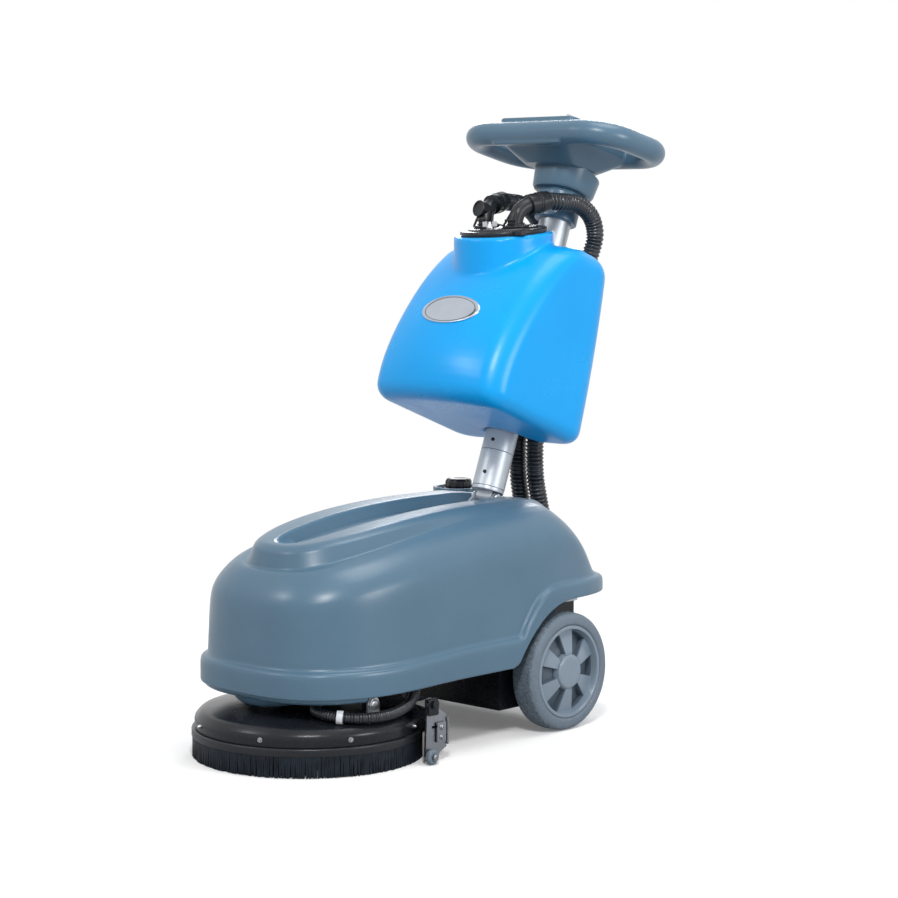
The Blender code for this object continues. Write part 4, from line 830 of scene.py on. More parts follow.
# front of the hub as a height over (radius, angle): a raised middle, spokes that slope down
# to the rim, and hollows between them with steep walls
def hubShape():
    half, rimRadius, face = wheel["half"], wheel["rim"], wheel["face"]
    radius = np.array([0.0103, 0.026, 0.0298, 0.0306, 0.0313, 0.0320, 0.0345, 0.040, 0.046, 0.052,
                       0.058, 0.0635, 0.0670, 0.0688, 0.0694, 0.0700, 0.0706, 0.0714, 0.0722,
                       0.0730, 0.0770, 0.0785])
    slope = face - wheel["dish"] * np.clip((radius - 0.034) / 0.034, 0, 1)
    lip = smoothstep((radius - 0.0706) / 0.0020)
    top = slope * (1 - lip) + (half - 0.0012) * lip
    top[-1] -= 0.0012
    edges = np.radians(np.array([-15.9, -15.0, -14.6, -14.0, 14.0, 14.6, 15.0, 15.9]))
    fill = np.radians(np.linspace(-12, 12, 9))
    gapFill = np.radians(np.linspace(18, 42, 9))
    one = np.sort(np.concatenate((edges, fill, gapFill)))
    angle = np.concatenate([one + n * np.pi / 3 for n in range(wheel["spokes"])])
    local = np.abs((angle + np.pi / 6) % (np.pi / 3) - np.pi / 6)
    between = smoothstep((np.degrees(local) - 14.6) / 1.3)
    inside = smoothstep((radius - 0.0298) / 0.0022) * (1 - smoothstep((radius - 0.0686) / 0.0018))
    depth = wheel["pocket"] * (0.75 + 0.25 * (radius - 0.034) / 0.034)
    height = top[:, None] - (inside * depth)[:, None] * between[None]
    front = np.stack((radius[:, None] * np.cos(angle), radius[:, None] * np.sin(angle), height), -1)
    back = [(rimRadius, -half + 0.001), (rimRadius - 0.006, -half + 0.001),
            (rimRadius - 0.007, -half + 0.009), (0.033, -half + 0.009), (0.030, -half + 0.002),
            (0.0103, -half + 0.002)]
    rear = np.array([np.stack((r * np.cos(angle), r * np.sin(angle), np.full(len(angle), z)), -1)
                     for r, z in back])
    verts, faces = skin(np.concatenate((front, rear)), closedRows=True)
    return verts, [poly[:, ::-1] for poly in faces]


def hubCapShape():
    face, radius = wheel["face"], wheel["cap"]
    return lathe([(0, face + 0.0003), (radius, face + 0.0003), (radius, face + 0.0016),
                  (radius - 0.003, face + 0.004), (radius - 0.009, face + 0.0043),
                  (0, face + 0.0045)], 96, ease=0.0012)


# painted shade: a darker copy of the hub plastic for the floors of the hollows
looks["hub_hollow_painted_shade"] = solidLook("hubHollowPaintedShade", (0.078, 0.108, 0.142), (0.090, 0.124, 0.162),
                                (0.12, 0.15, 0.18), (0.16, 0.19, 0.22), (0.42, 0.55), 1300.0,
                                0.00003, paintedGlintAmount=0.05, dustAmount=0.1, specular=0.4)
looks["tread"] = solidLook("tyreTread", (0.135, 0.178, 0.225), (0.085, 0.115, 0.150),
                           (0.42, 0.48, 0.54), (0.36, 0.40, 0.44), (0.55, 0.70), 420.0, 0.0008,
                           cloudSize=160.0, paintedGlintAmount=0.45, dustAmount=0.5, specular=0.3)
for side, name in bothSides:
    wheelFrame = axleFrame @ shift(side * wheel["track"], 0, wheel["radius"]) @ turn(side * 90, "Y")
    body = name + "_wheel"
    add(name + "TyreWall", moved(tyreShape(), wheelFrame), "grey_rubber", body,
        (name + "_tyre",), sharp=50)
    add(name + "TyreTread", moved(treadShape(), wheelFrame), "tread", body,
        sharp=50, slot="grey_rubber")
    hub = add(name + "HubDisc", moved(hubShape(), wheelFrame), "hub_plastic", body,
              (name + "_wheel_hub",), sharp=28)
    # the floors of the hollows are duller than the polished spokes, and painted darker as painted
    # shade, though they are the same plastic
    hub.data.materials.append(finishOf("hub_hollow_painted_shade"))
    inverse = wheelFrame.inverted()
    for face in hub.data.polygons:
        spot = inverse @ face.center
        reach = math.hypot(spot.x, spot.y)
        turned = (math.degrees(math.atan2(spot.y, spot.x)) + 30) % 60 - 30
        if 0.031 < reach < 0.0702 and abs(turned) > 15.2 and spot.z > -0.012:
            face.material_index = 1
    add(name + "HubCap", moved(hubCapShape(), wheelFrame), "hub_plastic", body,
        (name + "_hub_cap",), sharp=50)
print("wheels done")


# ---- brush deck

deck = {"radius": 0.183, "rimTop": 0.069, "top": 0.090, "bandTop": 0.0467, "bristleTop": 0.034,
        "bolts": 8, "boltHeight": 0.058, "firstBolt": 22.5, "motorRadius": 0.055}
rimR, topZ = deck["radius"], deck["top"]
panShape = lathe([(0.015, topZ - 0.004), (0.075, topZ - 0.004), (rimR - 0.015, topZ - 0.018),
                  (rimR - 0.004, deck["rimTop"] - 0.008), (rimR - 0.004, 0.0470), (rimR, 0.0470),
                  (rimR, deck["rimTop"] - 0.005), (rimR - 0.0045, deck["rimTop"] + 0.001),
                  (rimR - 0.0115, topZ - 0.013), (0.130, topZ - 0.006), (0.075, topZ),
                  (0.015, topZ)], 200, ring=True,
                 ease=(0.001, 0.02, 0.006, 0.004, 0.001, 0.001,
                       0.004, 0.006, 0.009, 0.02, 0.02, 0.001))


# arm welded to the deck, with the pin that the squeegee lifts on
def liftBracket(side):
    y, outer = 0.080, 0.1949

    def box(low, high, base, top):
        return block((min(side * low, side * high), y - 0.008, base),
                     (max(side * low, side * high), y + 0.008, top))

    # rounded cheek outside the arm, on the same pin
    outline = np.concatenate((arc(0.0125, -25, 205, 17), [(-0.0115, -0.017), (0.0115, -0.017)]))
    cheek = moved(prism(eased(outline, 0.003, 3), -0.0015, 0.0015),
                  shift(side * (outer + 0.0083), y, 0.095) @ turn(90, "Z") @ turn(90, "X"))
    long = moved(lathe([(0, -0.0045), (0.004, -0.0045), (0.004, 0.0085), (0.0062, 0.0088),
                        (0.0062, 0.0118), (0, 0.0124)], 32),
                 shift(side * (outer + 0.003), y, 0.095) @ turn(side * 90, "Y"))
    return gather(box(0.140, outer, 0.071, 0.081), box(outer - 0.0035, outer, 0.079, 0.103), long,
                  cheek)


add("deckPan", moved(panShape, deckFrame), "black_painted_steel", "deck",
    ("brush_deck",), sharp=50)
add("liftBrackets", moved(gather(liftBracket(1), liftBracket(-1)), deckFrame),
    "black_painted_steel", "deck", bevel=0.001)

bandIn, bandOut = rimR - 0.0043, rimR + 0.005
band = lathe([(bandIn - 0.003, deck["bristleTop"]), (bandOut, deck["bristleTop"]),
              (bandOut, deck["bandTop"] - 0.0015), (bandOut - 0.0015, deck["bandTop"]),
              (bandIn, deck["bandTop"]), (bandIn, 0.057), (bandIn - 0.003, 0.057)], 200,
             ring=True, ease=0.0012)
add("skirtBand", moved(band, deckFrame), "black_plastic", "deck", ("skirt_carrier",),
    sharp=50)


# skirt of bristles: narrow flat tufts side by side, each leaning and ending a little differently
skirt = {"tufts": 620, "rows": 6, "seed": 7, "top": 0.0345}


def skirtShape(seed, inner, outer, drop):
    draw = np.random.default_rng(seed)
    tufts, rows = skirt["tufts"], skirt["rows"]
    angle = (np.arange(tufts) + 0.3 * draw.uniform(-1, 1, tufts)) * 2 * np.pi / tufts
    width = 2 * np.pi / tufts * draw.uniform(0.40, 0.62, tufts)
    lean = draw.normal(0, 0.0045, tufts)
    flare = draw.uniform(-0.0012, 0.0012, tufts)
    end = np.clip(0.0004 + draw.exponential(0.0008, tufts), 0.0003, 0.0045) + drop
    share = np.linspace(0, 1, rows)[:, None]
    height = end + (skirt["top"] - end) * share
    centre = angle + lean * (1 - share) * 1.5
    half = width * (1.12 - 0.12 * share)
    thick = (outer - inner) / 2 * (0.75 + 0.25 * share)
    radius = (outer + inner) / 2 + flare * (1 - share) ** 2
    corners = []
    for sideways, out in ((-1, -1), (-1, 1), (1, 1), (1, -1)):
        a = centre + sideways * half
        r = radius + out * thick
        corners.append(np.stack((r * np.cos(a), r * np.sin(a), height), -1))
    points = np.stack(corners, 2)                         # rows, tufts, corners, xyz
    points = points.transpose(1, 0, 2, 3)
    ids = np.arange(tufts * rows * 4).reshape(tufts, rows, 4)
    nextOne = np.roll(ids, -1, 2)
    sides = np.stack((ids[:, :-1], ids[:, 1:], nextOne[:, 1:], nextOne[:, :-1]), -1).reshape(-1, 4)
    ends = np.concatenate((ids[:, 0, :], ids[:, -1, ::-1]))
    return points.reshape(-1, 3), [sides, ends]


bristles = gather(skirtShape(skirt["seed"], bandOut - 0.0045, bandOut - 0.0012, 0.0),
                  skirtShape(skirt["seed"] + 1, bandIn - 0.001, bandOut - 0.0042, 0.0),
                  skirtShape(skirt["seed"] + 2, bandIn - 0.004, bandIn + 0.001, 0.0))
add("bristleStrip", moved(bristles, deckFrame), "black_bristle", "deck",
    ("bristle_skirt",), sharp=30)


# small fasteners: a washer, a domed head and a cross or hexagonal socket
def screwShape(radius, height, washer=True, socket=True):
    profile = [(0, -0.0012), (radius * 1.35, -0.0012), (radius * 1.35, 0.0006),
               (radius, 0.0006)] if washer else [(0, -0.0012), (radius, -0.0012)]
    profile += [(radius * 0.98, height * 0.55), (radius * 0.72, height), (radius * 0.42, height)]
    profile += [(radius * 0.38, height * 0.45), (0, height * 0.45)] if socket else [(0, height)]
    return lathe(profile, 24)


def outward(angle, radius, height):
    return turn(angle, "Z") @ shift(radius, 0, height) @ turn(90, "Y")


heads = [moved(screwShape(0.0029, 0.0044), deckFrame @ outward(
    deck["firstBolt"] + 360 * n / deck["bolts"], rimR + 0.0006, deck["boltHeight"]))
    for n in range(deck["bolts"])]
add("deckScrews", gather(*heads), "zinc_plated_steel", "deck", sharp=40, slot="zinc_plated_steel")

# brush motor on the deck: a ribbed can with a flange
motor = deck["motorRadius"]
motorShape = lathe([(0, topZ + 0.0003), (motor, topZ + 0.0003), (motor, topZ + 0.030),
                    (motor - 0.003, topZ + 0.035), (0.039, topZ + 0.037), (0.037, topZ + 0.090),
                    (0.034, topZ + 0.095), (0, topZ + 0.095)], 120, ease=0.002)
add("motorCan", moved(motorShape, deckFrame), "black_plastic", "deck",
    ("brush_motor",), sharp=40)

# rotating brush: a base plate and rings of tufts
tufted = []
draw = np.random.default_rng(3)
for radius, count in ((0.070, 40), (0.088, 50), (0.106, 60), (0.124, 70), (0.142, 80), (0.157, 88)):
    angle = np.linspace(0, 2 * np.pi, count, endpoint=False) + draw.uniform(0, 1)
    six = np.radians(np.arange(6) * 60)
    splay = (radius - 0.045) * 0.03
    grid = []
    for height, size, out in ((0.0, 0.0046, splay), (0.020, 0.0040, 0), (0.030, 0.0036, 0)):
        local = size * np.stack((np.cos(six), np.sin(six)), -1)
        x = radius + out + local[None, :, 0]
        y = local[None, :, 1]
        grid.append(np.stack((x * np.cos(angle)[:, None] - y * np.sin(angle)[:, None],
                              x * np.sin(angle)[:, None] + y * np.cos(angle)[:, None],
                              np.full((count, 6), height + 0.0004)), -1))
    points = np.stack(grid, 1)
    ids = np.arange(points.size // 3).reshape(count, 3, 6)
    after = np.roll(ids, -1, 2)
    quads = np.stack((ids[:, :-1], after[:, :-1], after[:, 1:], ids[:, 1:]), -1).reshape(-1, 4)
    ends = ids[:, 0, ::-1]
    tufted.append((points.reshape(-1, 3), [quads, ends]))
plate = lathe([(0.045, 0.022), (0.162, 0.022), (0.163, 0.024), (0.163, 0.037), (0.045, 0.037)], 120,
              ring=True, ease=0.001)
add("brushTufts", moved(gather(plate, *tufted), deckFrame), "black_bristle", "brush",
    ("scrub_brush",), sharp=40)

# pivot ears: a plate with a round boss where the pin passes
for side, name in bothSides:
    boss = lathe([(0.0054, -0.0045), (0.0105, -0.0045), (0.0105, 0.0045), (0.0054, 0.0045)], 48,
                 ring=True, ease=0.0006)
    earOutline = np.concatenate(([(-0.013, -0.0183), (0.013, -0.0183)], arc(0.013, 0, 180, 17)))
    ear = moved(prism(earOutline, -0.002, 0.002), turn(90, "Z") @ turn(90, "X"))
    ear = gather(ear, moved(boss, turn(90, "Y")),
                 block((-0.010, -0.013, -0.0195), (0.010, 0.013, -0.0165)))
    add(name + "PivotEar", moved(ear, deckFrame @ shift(side * 0.1475, 0, 0.100)),
        "zinc_plated_steel", "deck", (name + "_deck_ear",), bevel=0.0007)
    pinShape = lathe([(0, -0.013), (0.0048, -0.013), (0.0048, 0.0022), (0.0085, 0.0022),
                      (0.0085, 0.0052), (0.006, 0.0064), (0, 0.0066)], 40, ease=0.0006)
    add(name + "PivotBolt", moved(pinShape, deckFrame @ shift(side * 0.1475, 0, 0.100)
                                  @ turn(side * 90, "Y")),
        "zinc_plated_steel", "chassis", (name + "_pivot_pin",), sharp=40)

# conduit of the brush motor, held by a white clip
conduit = {"radius": 0.0085, "pitch": 0.0044, "depth": 0.0019}
conduitRoute = ((0.0498, -0.0249, 0.1060), (0.0626, -0.0313, 0.1045), (0.0780, -0.0540, 0.0990),
                (0.1010, -0.0790, 0.0945), (0.1330, -0.0780, 0.0910), (0.1550, -0.0600, 0.0885),
                (0.1700, -0.0360, 0.0870), (0.1780, 0.0010, 0.0870), (0.1740, 0.0420, 0.0910),
                (0.1670, 0.0700, 0.1010), (0.1600, 0.0880, 0.1220), (0.1570, 0.1120, 0.1400),
                (0.1520, 0.1360, 0.1445), (0.1420, 0.1500, 0.1450), (0.1256, 0.1500, 0.1450))
path, places = smoothPath(conduitRoute, 0.0006)
conduitShape = sweep(path, ribs(places, conduit["radius"], conduit["pitch"], conduit["depth"]), 20,
                     (0, 0, 1))
# past the eleventh point it leaves the deck for the controller in the chassis
strung("motorConduit", moved(conduitShape, deckFrame), "hose",
       ("power_conduit",), sharp=70)
here = (np.array(conduitRoute[4]) + np.array(conduitRoute[5])) / 2
nearest = path[np.argmin(np.linalg.norm(path - here, axis=1))]
ahead = Vector(conduitRoute[5]) - Vector(conduitRoute[4])
clipFrame = shift(*nearest) @ ahead.to_track_quat("Z", "Y").to_matrix().to_4x4()
clip = gather(lathe([(0.0088, -0.005), (0.0106, -0.005), (0.0106, 0.005), (0.0088, 0.005)], 48,
                    ring=True, ease=0.0005),
              block((0.0095, -0.0028, -0.0045), (0.0150, 0.0028, 0.0045)))
add("conduitClip", moved(clip, deckFrame @ clipFrame), "white_plastic", "deck",
    ("conduit_clip",), bevel=0.0003)
print("deck done")


# ---- squeegee

for node, size in (("front_blade", 0.0004), ("rear_blade", 0.0004), ("squeegee_beam", 0.0012)):
    rounded(node, slotOf[node], "squeegee", size)

arm = {"x": 0.1975, "liftY": -0.345, "liftZ": 0.095, "rollerY": -0.005, "rollerZ": -0.0825}
for side, name in bothSides:
    armFrame = axleFrame @ shift(side * arm["x"], arm["liftY"], arm["liftZ"])
    rollerY, rollerZ = arm["rollerY"], arm["rollerZ"]
    outline = np.concatenate((arc(0.010, -20, 190, 15),
                              arc(0.009, 180, 330, 11, (rollerY, rollerZ)),
                              [(0.034, -0.072), (0.034, -0.020)]))
    outline = eased(outline, 0.002, 3)
    onSide = turn(90, "Z") @ turn(90, "X")
    armPlate = moved(prism(outline, -0.002, 0.002), onSide)
    lug = block((min(side * 0.002, side * -0.0133), 0.0003, -0.0387),
                (max(side * 0.002, side * -0.0133), 0.0183, -0.0345))
    pinFrame = shift(side * 0.001, rollerY, rollerZ) @ turn(side * 90, "Y")
    pinShape = lathe([(0, 0), (0.003, 0), (0.003, 0.0135), (0.0055, 0.0140), (0.0055, 0.0155),
                      (0.0040, 0.0170), (0, 0.0172)], 32, ease=0.0004)
    boss = moved(lathe([(0, -0.0021), (0.0078, -0.0021), (0.0078, 0.0040), (0.0066, 0.0050),
                        (0, 0.0050)], 6), turn(side * 90, "Y"))
    add(name + "ArmPlate", moved(gather(armPlate, lug, moved(pinShape, pinFrame), boss), armFrame),
        "dull_zinc", "squeegee", (name + "_squeegee_arm",), bevel=0.0006)
    # folded lip and a bolt on the outside of the arm, as the real bracket has
    lip = gather(block((-0.0015, 0.0335, -0.0680), (0.0015, 0.0365, -0.0240)),
                 block((0, 0.0090, -0.0620), (0.0030, 0.0290, -0.0300)))
    lip = moved(lip, shift(0.0035, 0, 0))
    if side < 0:
        lip = flipped(lip)
    heads = [moved(screwShape(0.0036, 0.0030), shift(side * 0.0068, y, z) @ turn(side * 90, "Y"))
             for y, z in ((0.019, -0.038), (0.019, -0.054))]
    add(name + "ArmStiffener", moved(gather(lip, *heads), armFrame),
        "dull_zinc", "squeegee", bevel=0.0008, slot="zinc_plated_steel")
    rollerFrame = armFrame @ shift(0, rollerY, rollerZ) @ turn(side * 90, "Y")
    rollerShape = lathe([(0.0033, 0.0026), (0.0100, 0.0026), (0.0120, 0.0045), (0.0120, 0.0107),
                         (0.0100, 0.0126), (0.0033, 0.0126)], 64, ring=True, ease=0.0014)
    add(name + "GuideWheel", moved(rollerShape, rollerFrame), "grey_rubber",
        name + "_roller", (name + "_guide_roller",), sharp=50)

# frame and units under the cover
for node, size in (("chassis_frame", 0.0012), ("battery", 0.003), ("motor_controller", 0.002),
                   ("vacuum_motor", 0.001), ("clean_water_tank", 0.003), ("drive_plate", 0.001),
                   ("hose_inlet", 0.0010)):
    body = next(b for b, members in frame["record"]["behaviour"]["bodies"].items()
                if node in members)
    rounded(node, slotOf[node], body, size)
axleShape = moved(lathe([(0, -0.189), (0.0095, -0.189), (0.0100, -0.188), (0.0100, 0.188),
                         (0.0095, 0.189), (0, 0.189)], 48), axleFrame @ shift(0, 0, 0.100)
                  @ turn(90, "Y"))
add("axleRod", axleShape, "zinc_plated_steel", "chassis", ("wheel_axle",), sharp=40)
print("squeegee and frame done")


# ---- mast

mast = {"tube": 0.0285, "tubeWall": 0.0025, "sleeveFoot": 0.0155, "seam": 0.080, "top": 0.565,
        "screwTurn": -74.0}
tubeR, tubeIn = mast["tube"], mast["tube"] - mast["tubeWall"]


def pipe(low, high, inner, outer, soft=0.0006, steps=120):
    return lathe([(inner, low), (outer - soft, low), (outer, low + soft), (outer, high - soft),
                  (outer - soft, high), (inner, high)], steps, ring=True)


add("lowerSleeve", moved(pipe(mast["sleeveFoot"], mast["seam"] - 0.0003, tubeIn, tubeR), mastFrame),
    "satin_aluminium", "mast", ("lower_post",), sharp=40)
add("upperTube", moved(pipe(mast["seam"], mast["top"], tubeIn, tubeR), mastFrame),
    "satin_aluminium", "mast", ("upper_post",), sharp=40)
footShape = lathe([(0, 0.0085), (0.0272, 0.0085), (0.0280, 0.0092), (0.0280, 0.0152),
                   (tubeIn - 0.0003, 0.0152), (tubeIn - 0.0003, 0.118), (0, 0.118)], 96,
                  ease=0.0004)
knuckleOutline = np.concatenate(([(0.0075, 0.010), (-0.0075, 0.010)], arc(0.0075, 180, 360, 21)))
knuckle = moved(prism(knuckleOutline, -0.0175, 0.0175), turn(90, "Z") @ turn(90, "X"))
add("mastKnuckle", moved(gather(footShape, knuckle), mastFrame), "satin_aluminium",
    "mast", ("mast_foot",), bevel=0.0006)
rounded("hinge_base", "satin_aluminium", "chassis", 0.0008)
pinShape = lathe([(0, -0.0285), (0.0070, -0.0285), (0.0070, -0.0245), (0.0040, -0.0240),
                  (0.0040, 0.0240), (0.0070, 0.0245), (0.0070, 0.0275), (0.0055, 0.0288),
                  (0, 0.0290)], 40, ease=0.0004)
add("hingeBolt", moved(pinShape, shift(0, hinge[1], hinge[2]) @ turn(90, "Y")),
    "zinc_plated_steel", "chassis", ("hinge_pin",), sharp=40)

# small dark screws on the post, either side of the seam
heads = [moved(screwShape(0.0032, 0.0020, washer=False),
               mastFrame @ outward(mast["screwTurn"], tubeR + 0.0004, height))
         for height in (0.0380, 0.0960)]
heads += [moved(screwShape(0.0032, 0.0020, washer=False),
                mastFrame @ outward(180 + mast["screwTurn"], tubeR + 0.0004, height))
          for height in (0.0380, 0.0960)]
add("postScrews", gather(*heads), "black_painted_steel", "mast", sharp=40,
    slot="black_painted_steel")
rounded("tank_pad", "black_rubber", "mast", 0.0006)
rounded("hose_clip", "black_plastic", "mast", 0.0015)


# ---- recovery tank

tank = {"half": 0.1455, "wall": 0.0035, "base": 0.114, "crown": 0.437,
        "frontCorner": 0.034, "rearCorner": 0.045, "baseRound": 0.024, "crownRound": 0.034,
        "neckRadius": 0.086, "neckTop": 0.834, "neckFoot": 0.66, "mouth": 0.066,
        "voxel": 0.0032, "passes": 8}
# where the front corners and the rear face lie, and how far the front swells,
# by height along the post
frontTable = np.array([(0.103, -0.190), (0.150, -0.2010), (0.200, -0.196), (0.248, -0.186),
                       (0.293, -0.171), (0.335, -0.153), (0.373, -0.132), (0.409, -0.105),
                       (0.437, -0.079)])
rearTable = np.array([(0.103, 0.061), (0.160, 0.059), (0.307, 0.043), (0.400, 0.028),
                      (0.437, 0.022)])
bowTable = np.array([(0.103, 0.018), (0.180, 0.023), (0.250, 0.026), (0.437, 0.026)])
frontCurve = np.polyfit(frontTable[:, 0], frontTable[:, 1], 4)
rearCurve = np.polyfit(rearTable[:, 0], rearTable[:, 1], 2)


# plan of the tank across the post: rounded corners, and a front that swells by a parabola
def tankPlan(along, inset):
    half = tank["half"] - inset
    front, rear = np.polyval(frontCurve, along) + inset, np.polyval(rearCurve, along) - inset
    bow = np.interp(along, bowTable[:, 0], bowTable[:, 1])
    backRound = max(tank["rearCorner"] - inset, 0.006)
    frontRound = max(tank["frontCorner"] - inset, 0.006)
    right = np.concatenate((
        arc(frontRound, -90, 0, 12, (half - frontRound, front + frontRound)),
        arc(backRound, 0, 90, 12, (half - backRound, rear - backRound))))
    middle = np.column_stack((np.linspace(-half + frontRound, half - frontRound, 24)[1:-1],
                              np.full(22, front)))
    left = right[::-1] * (-1, 1)
    outline = np.concatenate((middle, right, left))
    swell = bow * (1 - (outline[:, 0] / half) ** 2)
    outline[:, 1] -= np.where(outline[:, 1] < (front + rear) / 2, swell, 0)
    return outline


def tankBody(wallInset):
    low, high = tank["base"] + wallInset, tank["crown"] - wallInset
    baseR, crownR = tank["baseRound"] - wallInset, tank["crownRound"] - wallInset
    turnAngle = np.radians(np.linspace(0, 90, 9))
    rows = [(low + baseR * (1 - np.cos(a)), wallInset + baseR * (1 - np.sin(a))) for a in turnAngle]
    rows += [(z, wallInset) for z in np.linspace(low + baseR, high - crownR, 18)[1:-1]]
    rows += [(high - crownR * (1 - np.cos(a)), wallInset + crownR * (1 - np.sin(a)))
             for a in turnAngle[::-1]]
    points = [np.column_stack((tankPlan(z, inset), np.full(70, z))) for z, inset in rows]
    return moved(skin(np.array(points), capLow=True, capHigh=True), mastFrame)


def neckShape(radius, foot, top, slopeTop):
    angle = np.linspace(0, 2 * np.pi, 96, endpoint=False)
    x, y = radius * np.cos(angle), radius * np.sin(angle)
    low = np.stack((x, 0.045 + y, np.full(96, foot)), -1)
    high = np.stack((x, 0.045 + y, top + y * slopeTop), -1)
    return moved(skin(np.array((low, high)), capLow=True, capHigh=True), axleFrame)


# groove down the back that the post lies in, widening to the rear
def grooveShape(radius):
    outline = np.concatenate((arc(radius, 180, 360, 25),
                              [(radius + 0.030, 0.080), (-radius - 0.030, 0.080)]))
    return moved(prism(outline, 0.05, 0.55), mastFrame)


tilt = math.tan(math.radians(5.0))
tankShape = tankBody(0.0)
tankNeck = neckShape(tank["neckRadius"], tank["neckFoot"], tank["neckTop"], tilt)
tankMesh = moulded("tankShell", [tankShape, tankNeck],
                   tank["voxel"], tank["passes"], [grooveShape(mast["tube"] + 0.004)])
space = moulded("tankSpace", [tankBody(tank["wall"]),
                              neckShape(tank["mouth"], 0.69, tank["neckTop"] + 0.01, tilt)],
                0.006, 3, [grooveShape(mast["tube"] + 0.004 + tank["wall"])])
tankMesh = cutOut("tankShell", tankMesh, space)
place("tankShell", tankMesh, "blue_plastic", "tank", ("recovery_tank",), sharp=50)
print("tank done")


# bare oval badge that follows the front of the tank
badge = {"half": 0.0645, "rise": 0.0275, "along": 0.272, "sink": 0.003}


# height of the tank's front over (x, along): its middle plus the swell at that x
def frontAt(x, along):
    front = np.polyval(frontCurve, along)
    bow = np.interp(along, bowTable[:, 0], bowTable[:, 1])
    return front - bow * (1 - (x / tank["half"]) ** 2)


def badgeRows(steps):
    angle = np.linspace(0, 2 * np.pi, 120, endpoint=False)
    rows = []
    for share, proud in steps:
        x = badge["half"] * share * np.cos(angle)
        along = badge["along"] + badge["rise"] * share * np.sin(angle)
        rows.append(np.stack((x, frontAt(x, along) - proud, along), -1))
    return moved(skin(np.array(rows), capLow=True, capHigh=True), mastFrame)


add("badgePlate", badgeRows([(0.995, -badge["sink"]), (1.0, 0.0008), (0.985, 0.0018),
                             (0.955, 0.0022), (0.925, 0.0020), (0.915, 0.0015),
                             (0.6, 0.0015), (0.3, 0.0015)]),
    "silver_plate", "tank", ("tank_badge",), sharp=40)
add("badgeLine", badgeRows([(0.870, 0.0010), (0.872, 0.00185), (0.850, 0.00185),
                                   (0.846, 0.0010)]),
    "dark_gap", "tank", sharp=40, slot="silver_plate")


# ---- lid and its fittings

lidPart = {"top": 0.0131, "fitting": 0.0175}
lidShape = lathe([(0, -0.012), (0.0645, -0.012), (0.0645, 0.0023), (0.0755, 0.0023),
                  (0.0755, 0.0063), (0.0740, 0.0088), (0.0620, 0.0088), (0.0600, 0.0118),
                  (0, 0.0128)], 160, ease=(0.001, 0.001, 0.0005, 0.0012, 0.0012, 0.0008, 0.0015,
                                           0.0015, 0.001))
tabEdge = np.concatenate(([(-0.014, 0.060), (0.014, 0.060)],
                          arc(0.0105, 20, 160, 13, (0, 0.0790))))
tab = prism(eased(tabEdge, 0.002, 3), 0.0030, 0.0085)
tabs = [moved(tab, turn(angle, "Z")) for angle in (-118, 62)]
add("lidPlate", moved(gather(lidShape, *tabs), lidFrame), "black_plastic", "lid",
    ("tank_lid",), bevel=0.0006, sharp=40)
gasketShape = lathe([(0.067, 0.0003), (0.0735, 0.0003), (0.0735, 0.0020), (0.067, 0.0020)], 120,
                    ring=True)
add("lidSeal", moved(gasketShape, lidFrame), "black_rubber", "tank", ("lid_gasket",),
    sharp=40)

elbowLine = ((0.034, -0.006, 0.0), (0.034, -0.006, 0.010), (0.037, 0.002, 0.026),
             (0.042, 0.020, 0.035), (0.047, 0.040, 0.037))
fitting = lidPart["fitting"]
for side, name in bothSides:
    line = [(side * x, y, lidPart["top"] + z) for x, y, z in elbowLine]
    path, places = smoothPath(line, 0.0012)
    total = places[-1]
    # wider foot, a cuff at the hose end with a small lip
    radius = np.full(len(places), fitting - 0.0045)
    radius = np.where(places < 0.005, fitting - 0.0015, radius)
    radius = np.where(places > total - 0.020, fitting, radius)
    radius = np.where(places > total - 0.0035, fitting + 0.0009, radius)
    elbow = sweep(path, radius, 48)
    # A-shaped stiffening ribs on the outer side of the bend
    spine = []
    foot, bend = Vector(line[0]), Vector(line[2])
    for sideways in (-1, 1):
        start = foot + Vector((sideways * 0.0150, -0.0150, 0.002))
        end = bend + Vector((sideways * 0.0035, -0.0135, 0.002))
        spine.append(sweep(np.array([tuple(start.lerp(end, t)) for t in np.linspace(0, 1, 8)]),
                           0.0021, 10))
    spine.append(sweep(np.array([tuple(foot + Vector((x, -0.0150, 0.012)))
                                 for x in np.linspace(-0.0100, 0.0100, 6)]), 0.0019, 10,
                       (0, 0, 1)))
    # the far fitting ends forward in a round plugged mouth
    if side < 0:
        mouth = lathe([(0, 0), (0.0128, 0), (0.0128, 0.016), (0.0145, 0.0165), (0.0145, 0.0215),
                       (0.0118, 0.0220), (0.0112, 0.0195), (0, 0.0190)], 48, ease=0.0005)
        aim = Vector((-0.10, -0.94, 0.32)).to_track_quat("Z", "Y").to_matrix().to_4x4()
        spine.append(moved(mouth, shift(*bend) @ aim))
    flange = moved(lathe([(0, -0.0004), (fitting + 0.0058, -0.0004), (fitting + 0.0058, 0.0022),
                        (fitting + 0.0035, 0.0030), (0, 0.0030)], 72, ease=0.0008),
                 shift(*line[0]))
    add(name + "Fitting", moved(gather(elbow, flange, *spine), lidFrame),
        "black_plastic", "lid", (name + "_elbow",), bevel=0.0005)

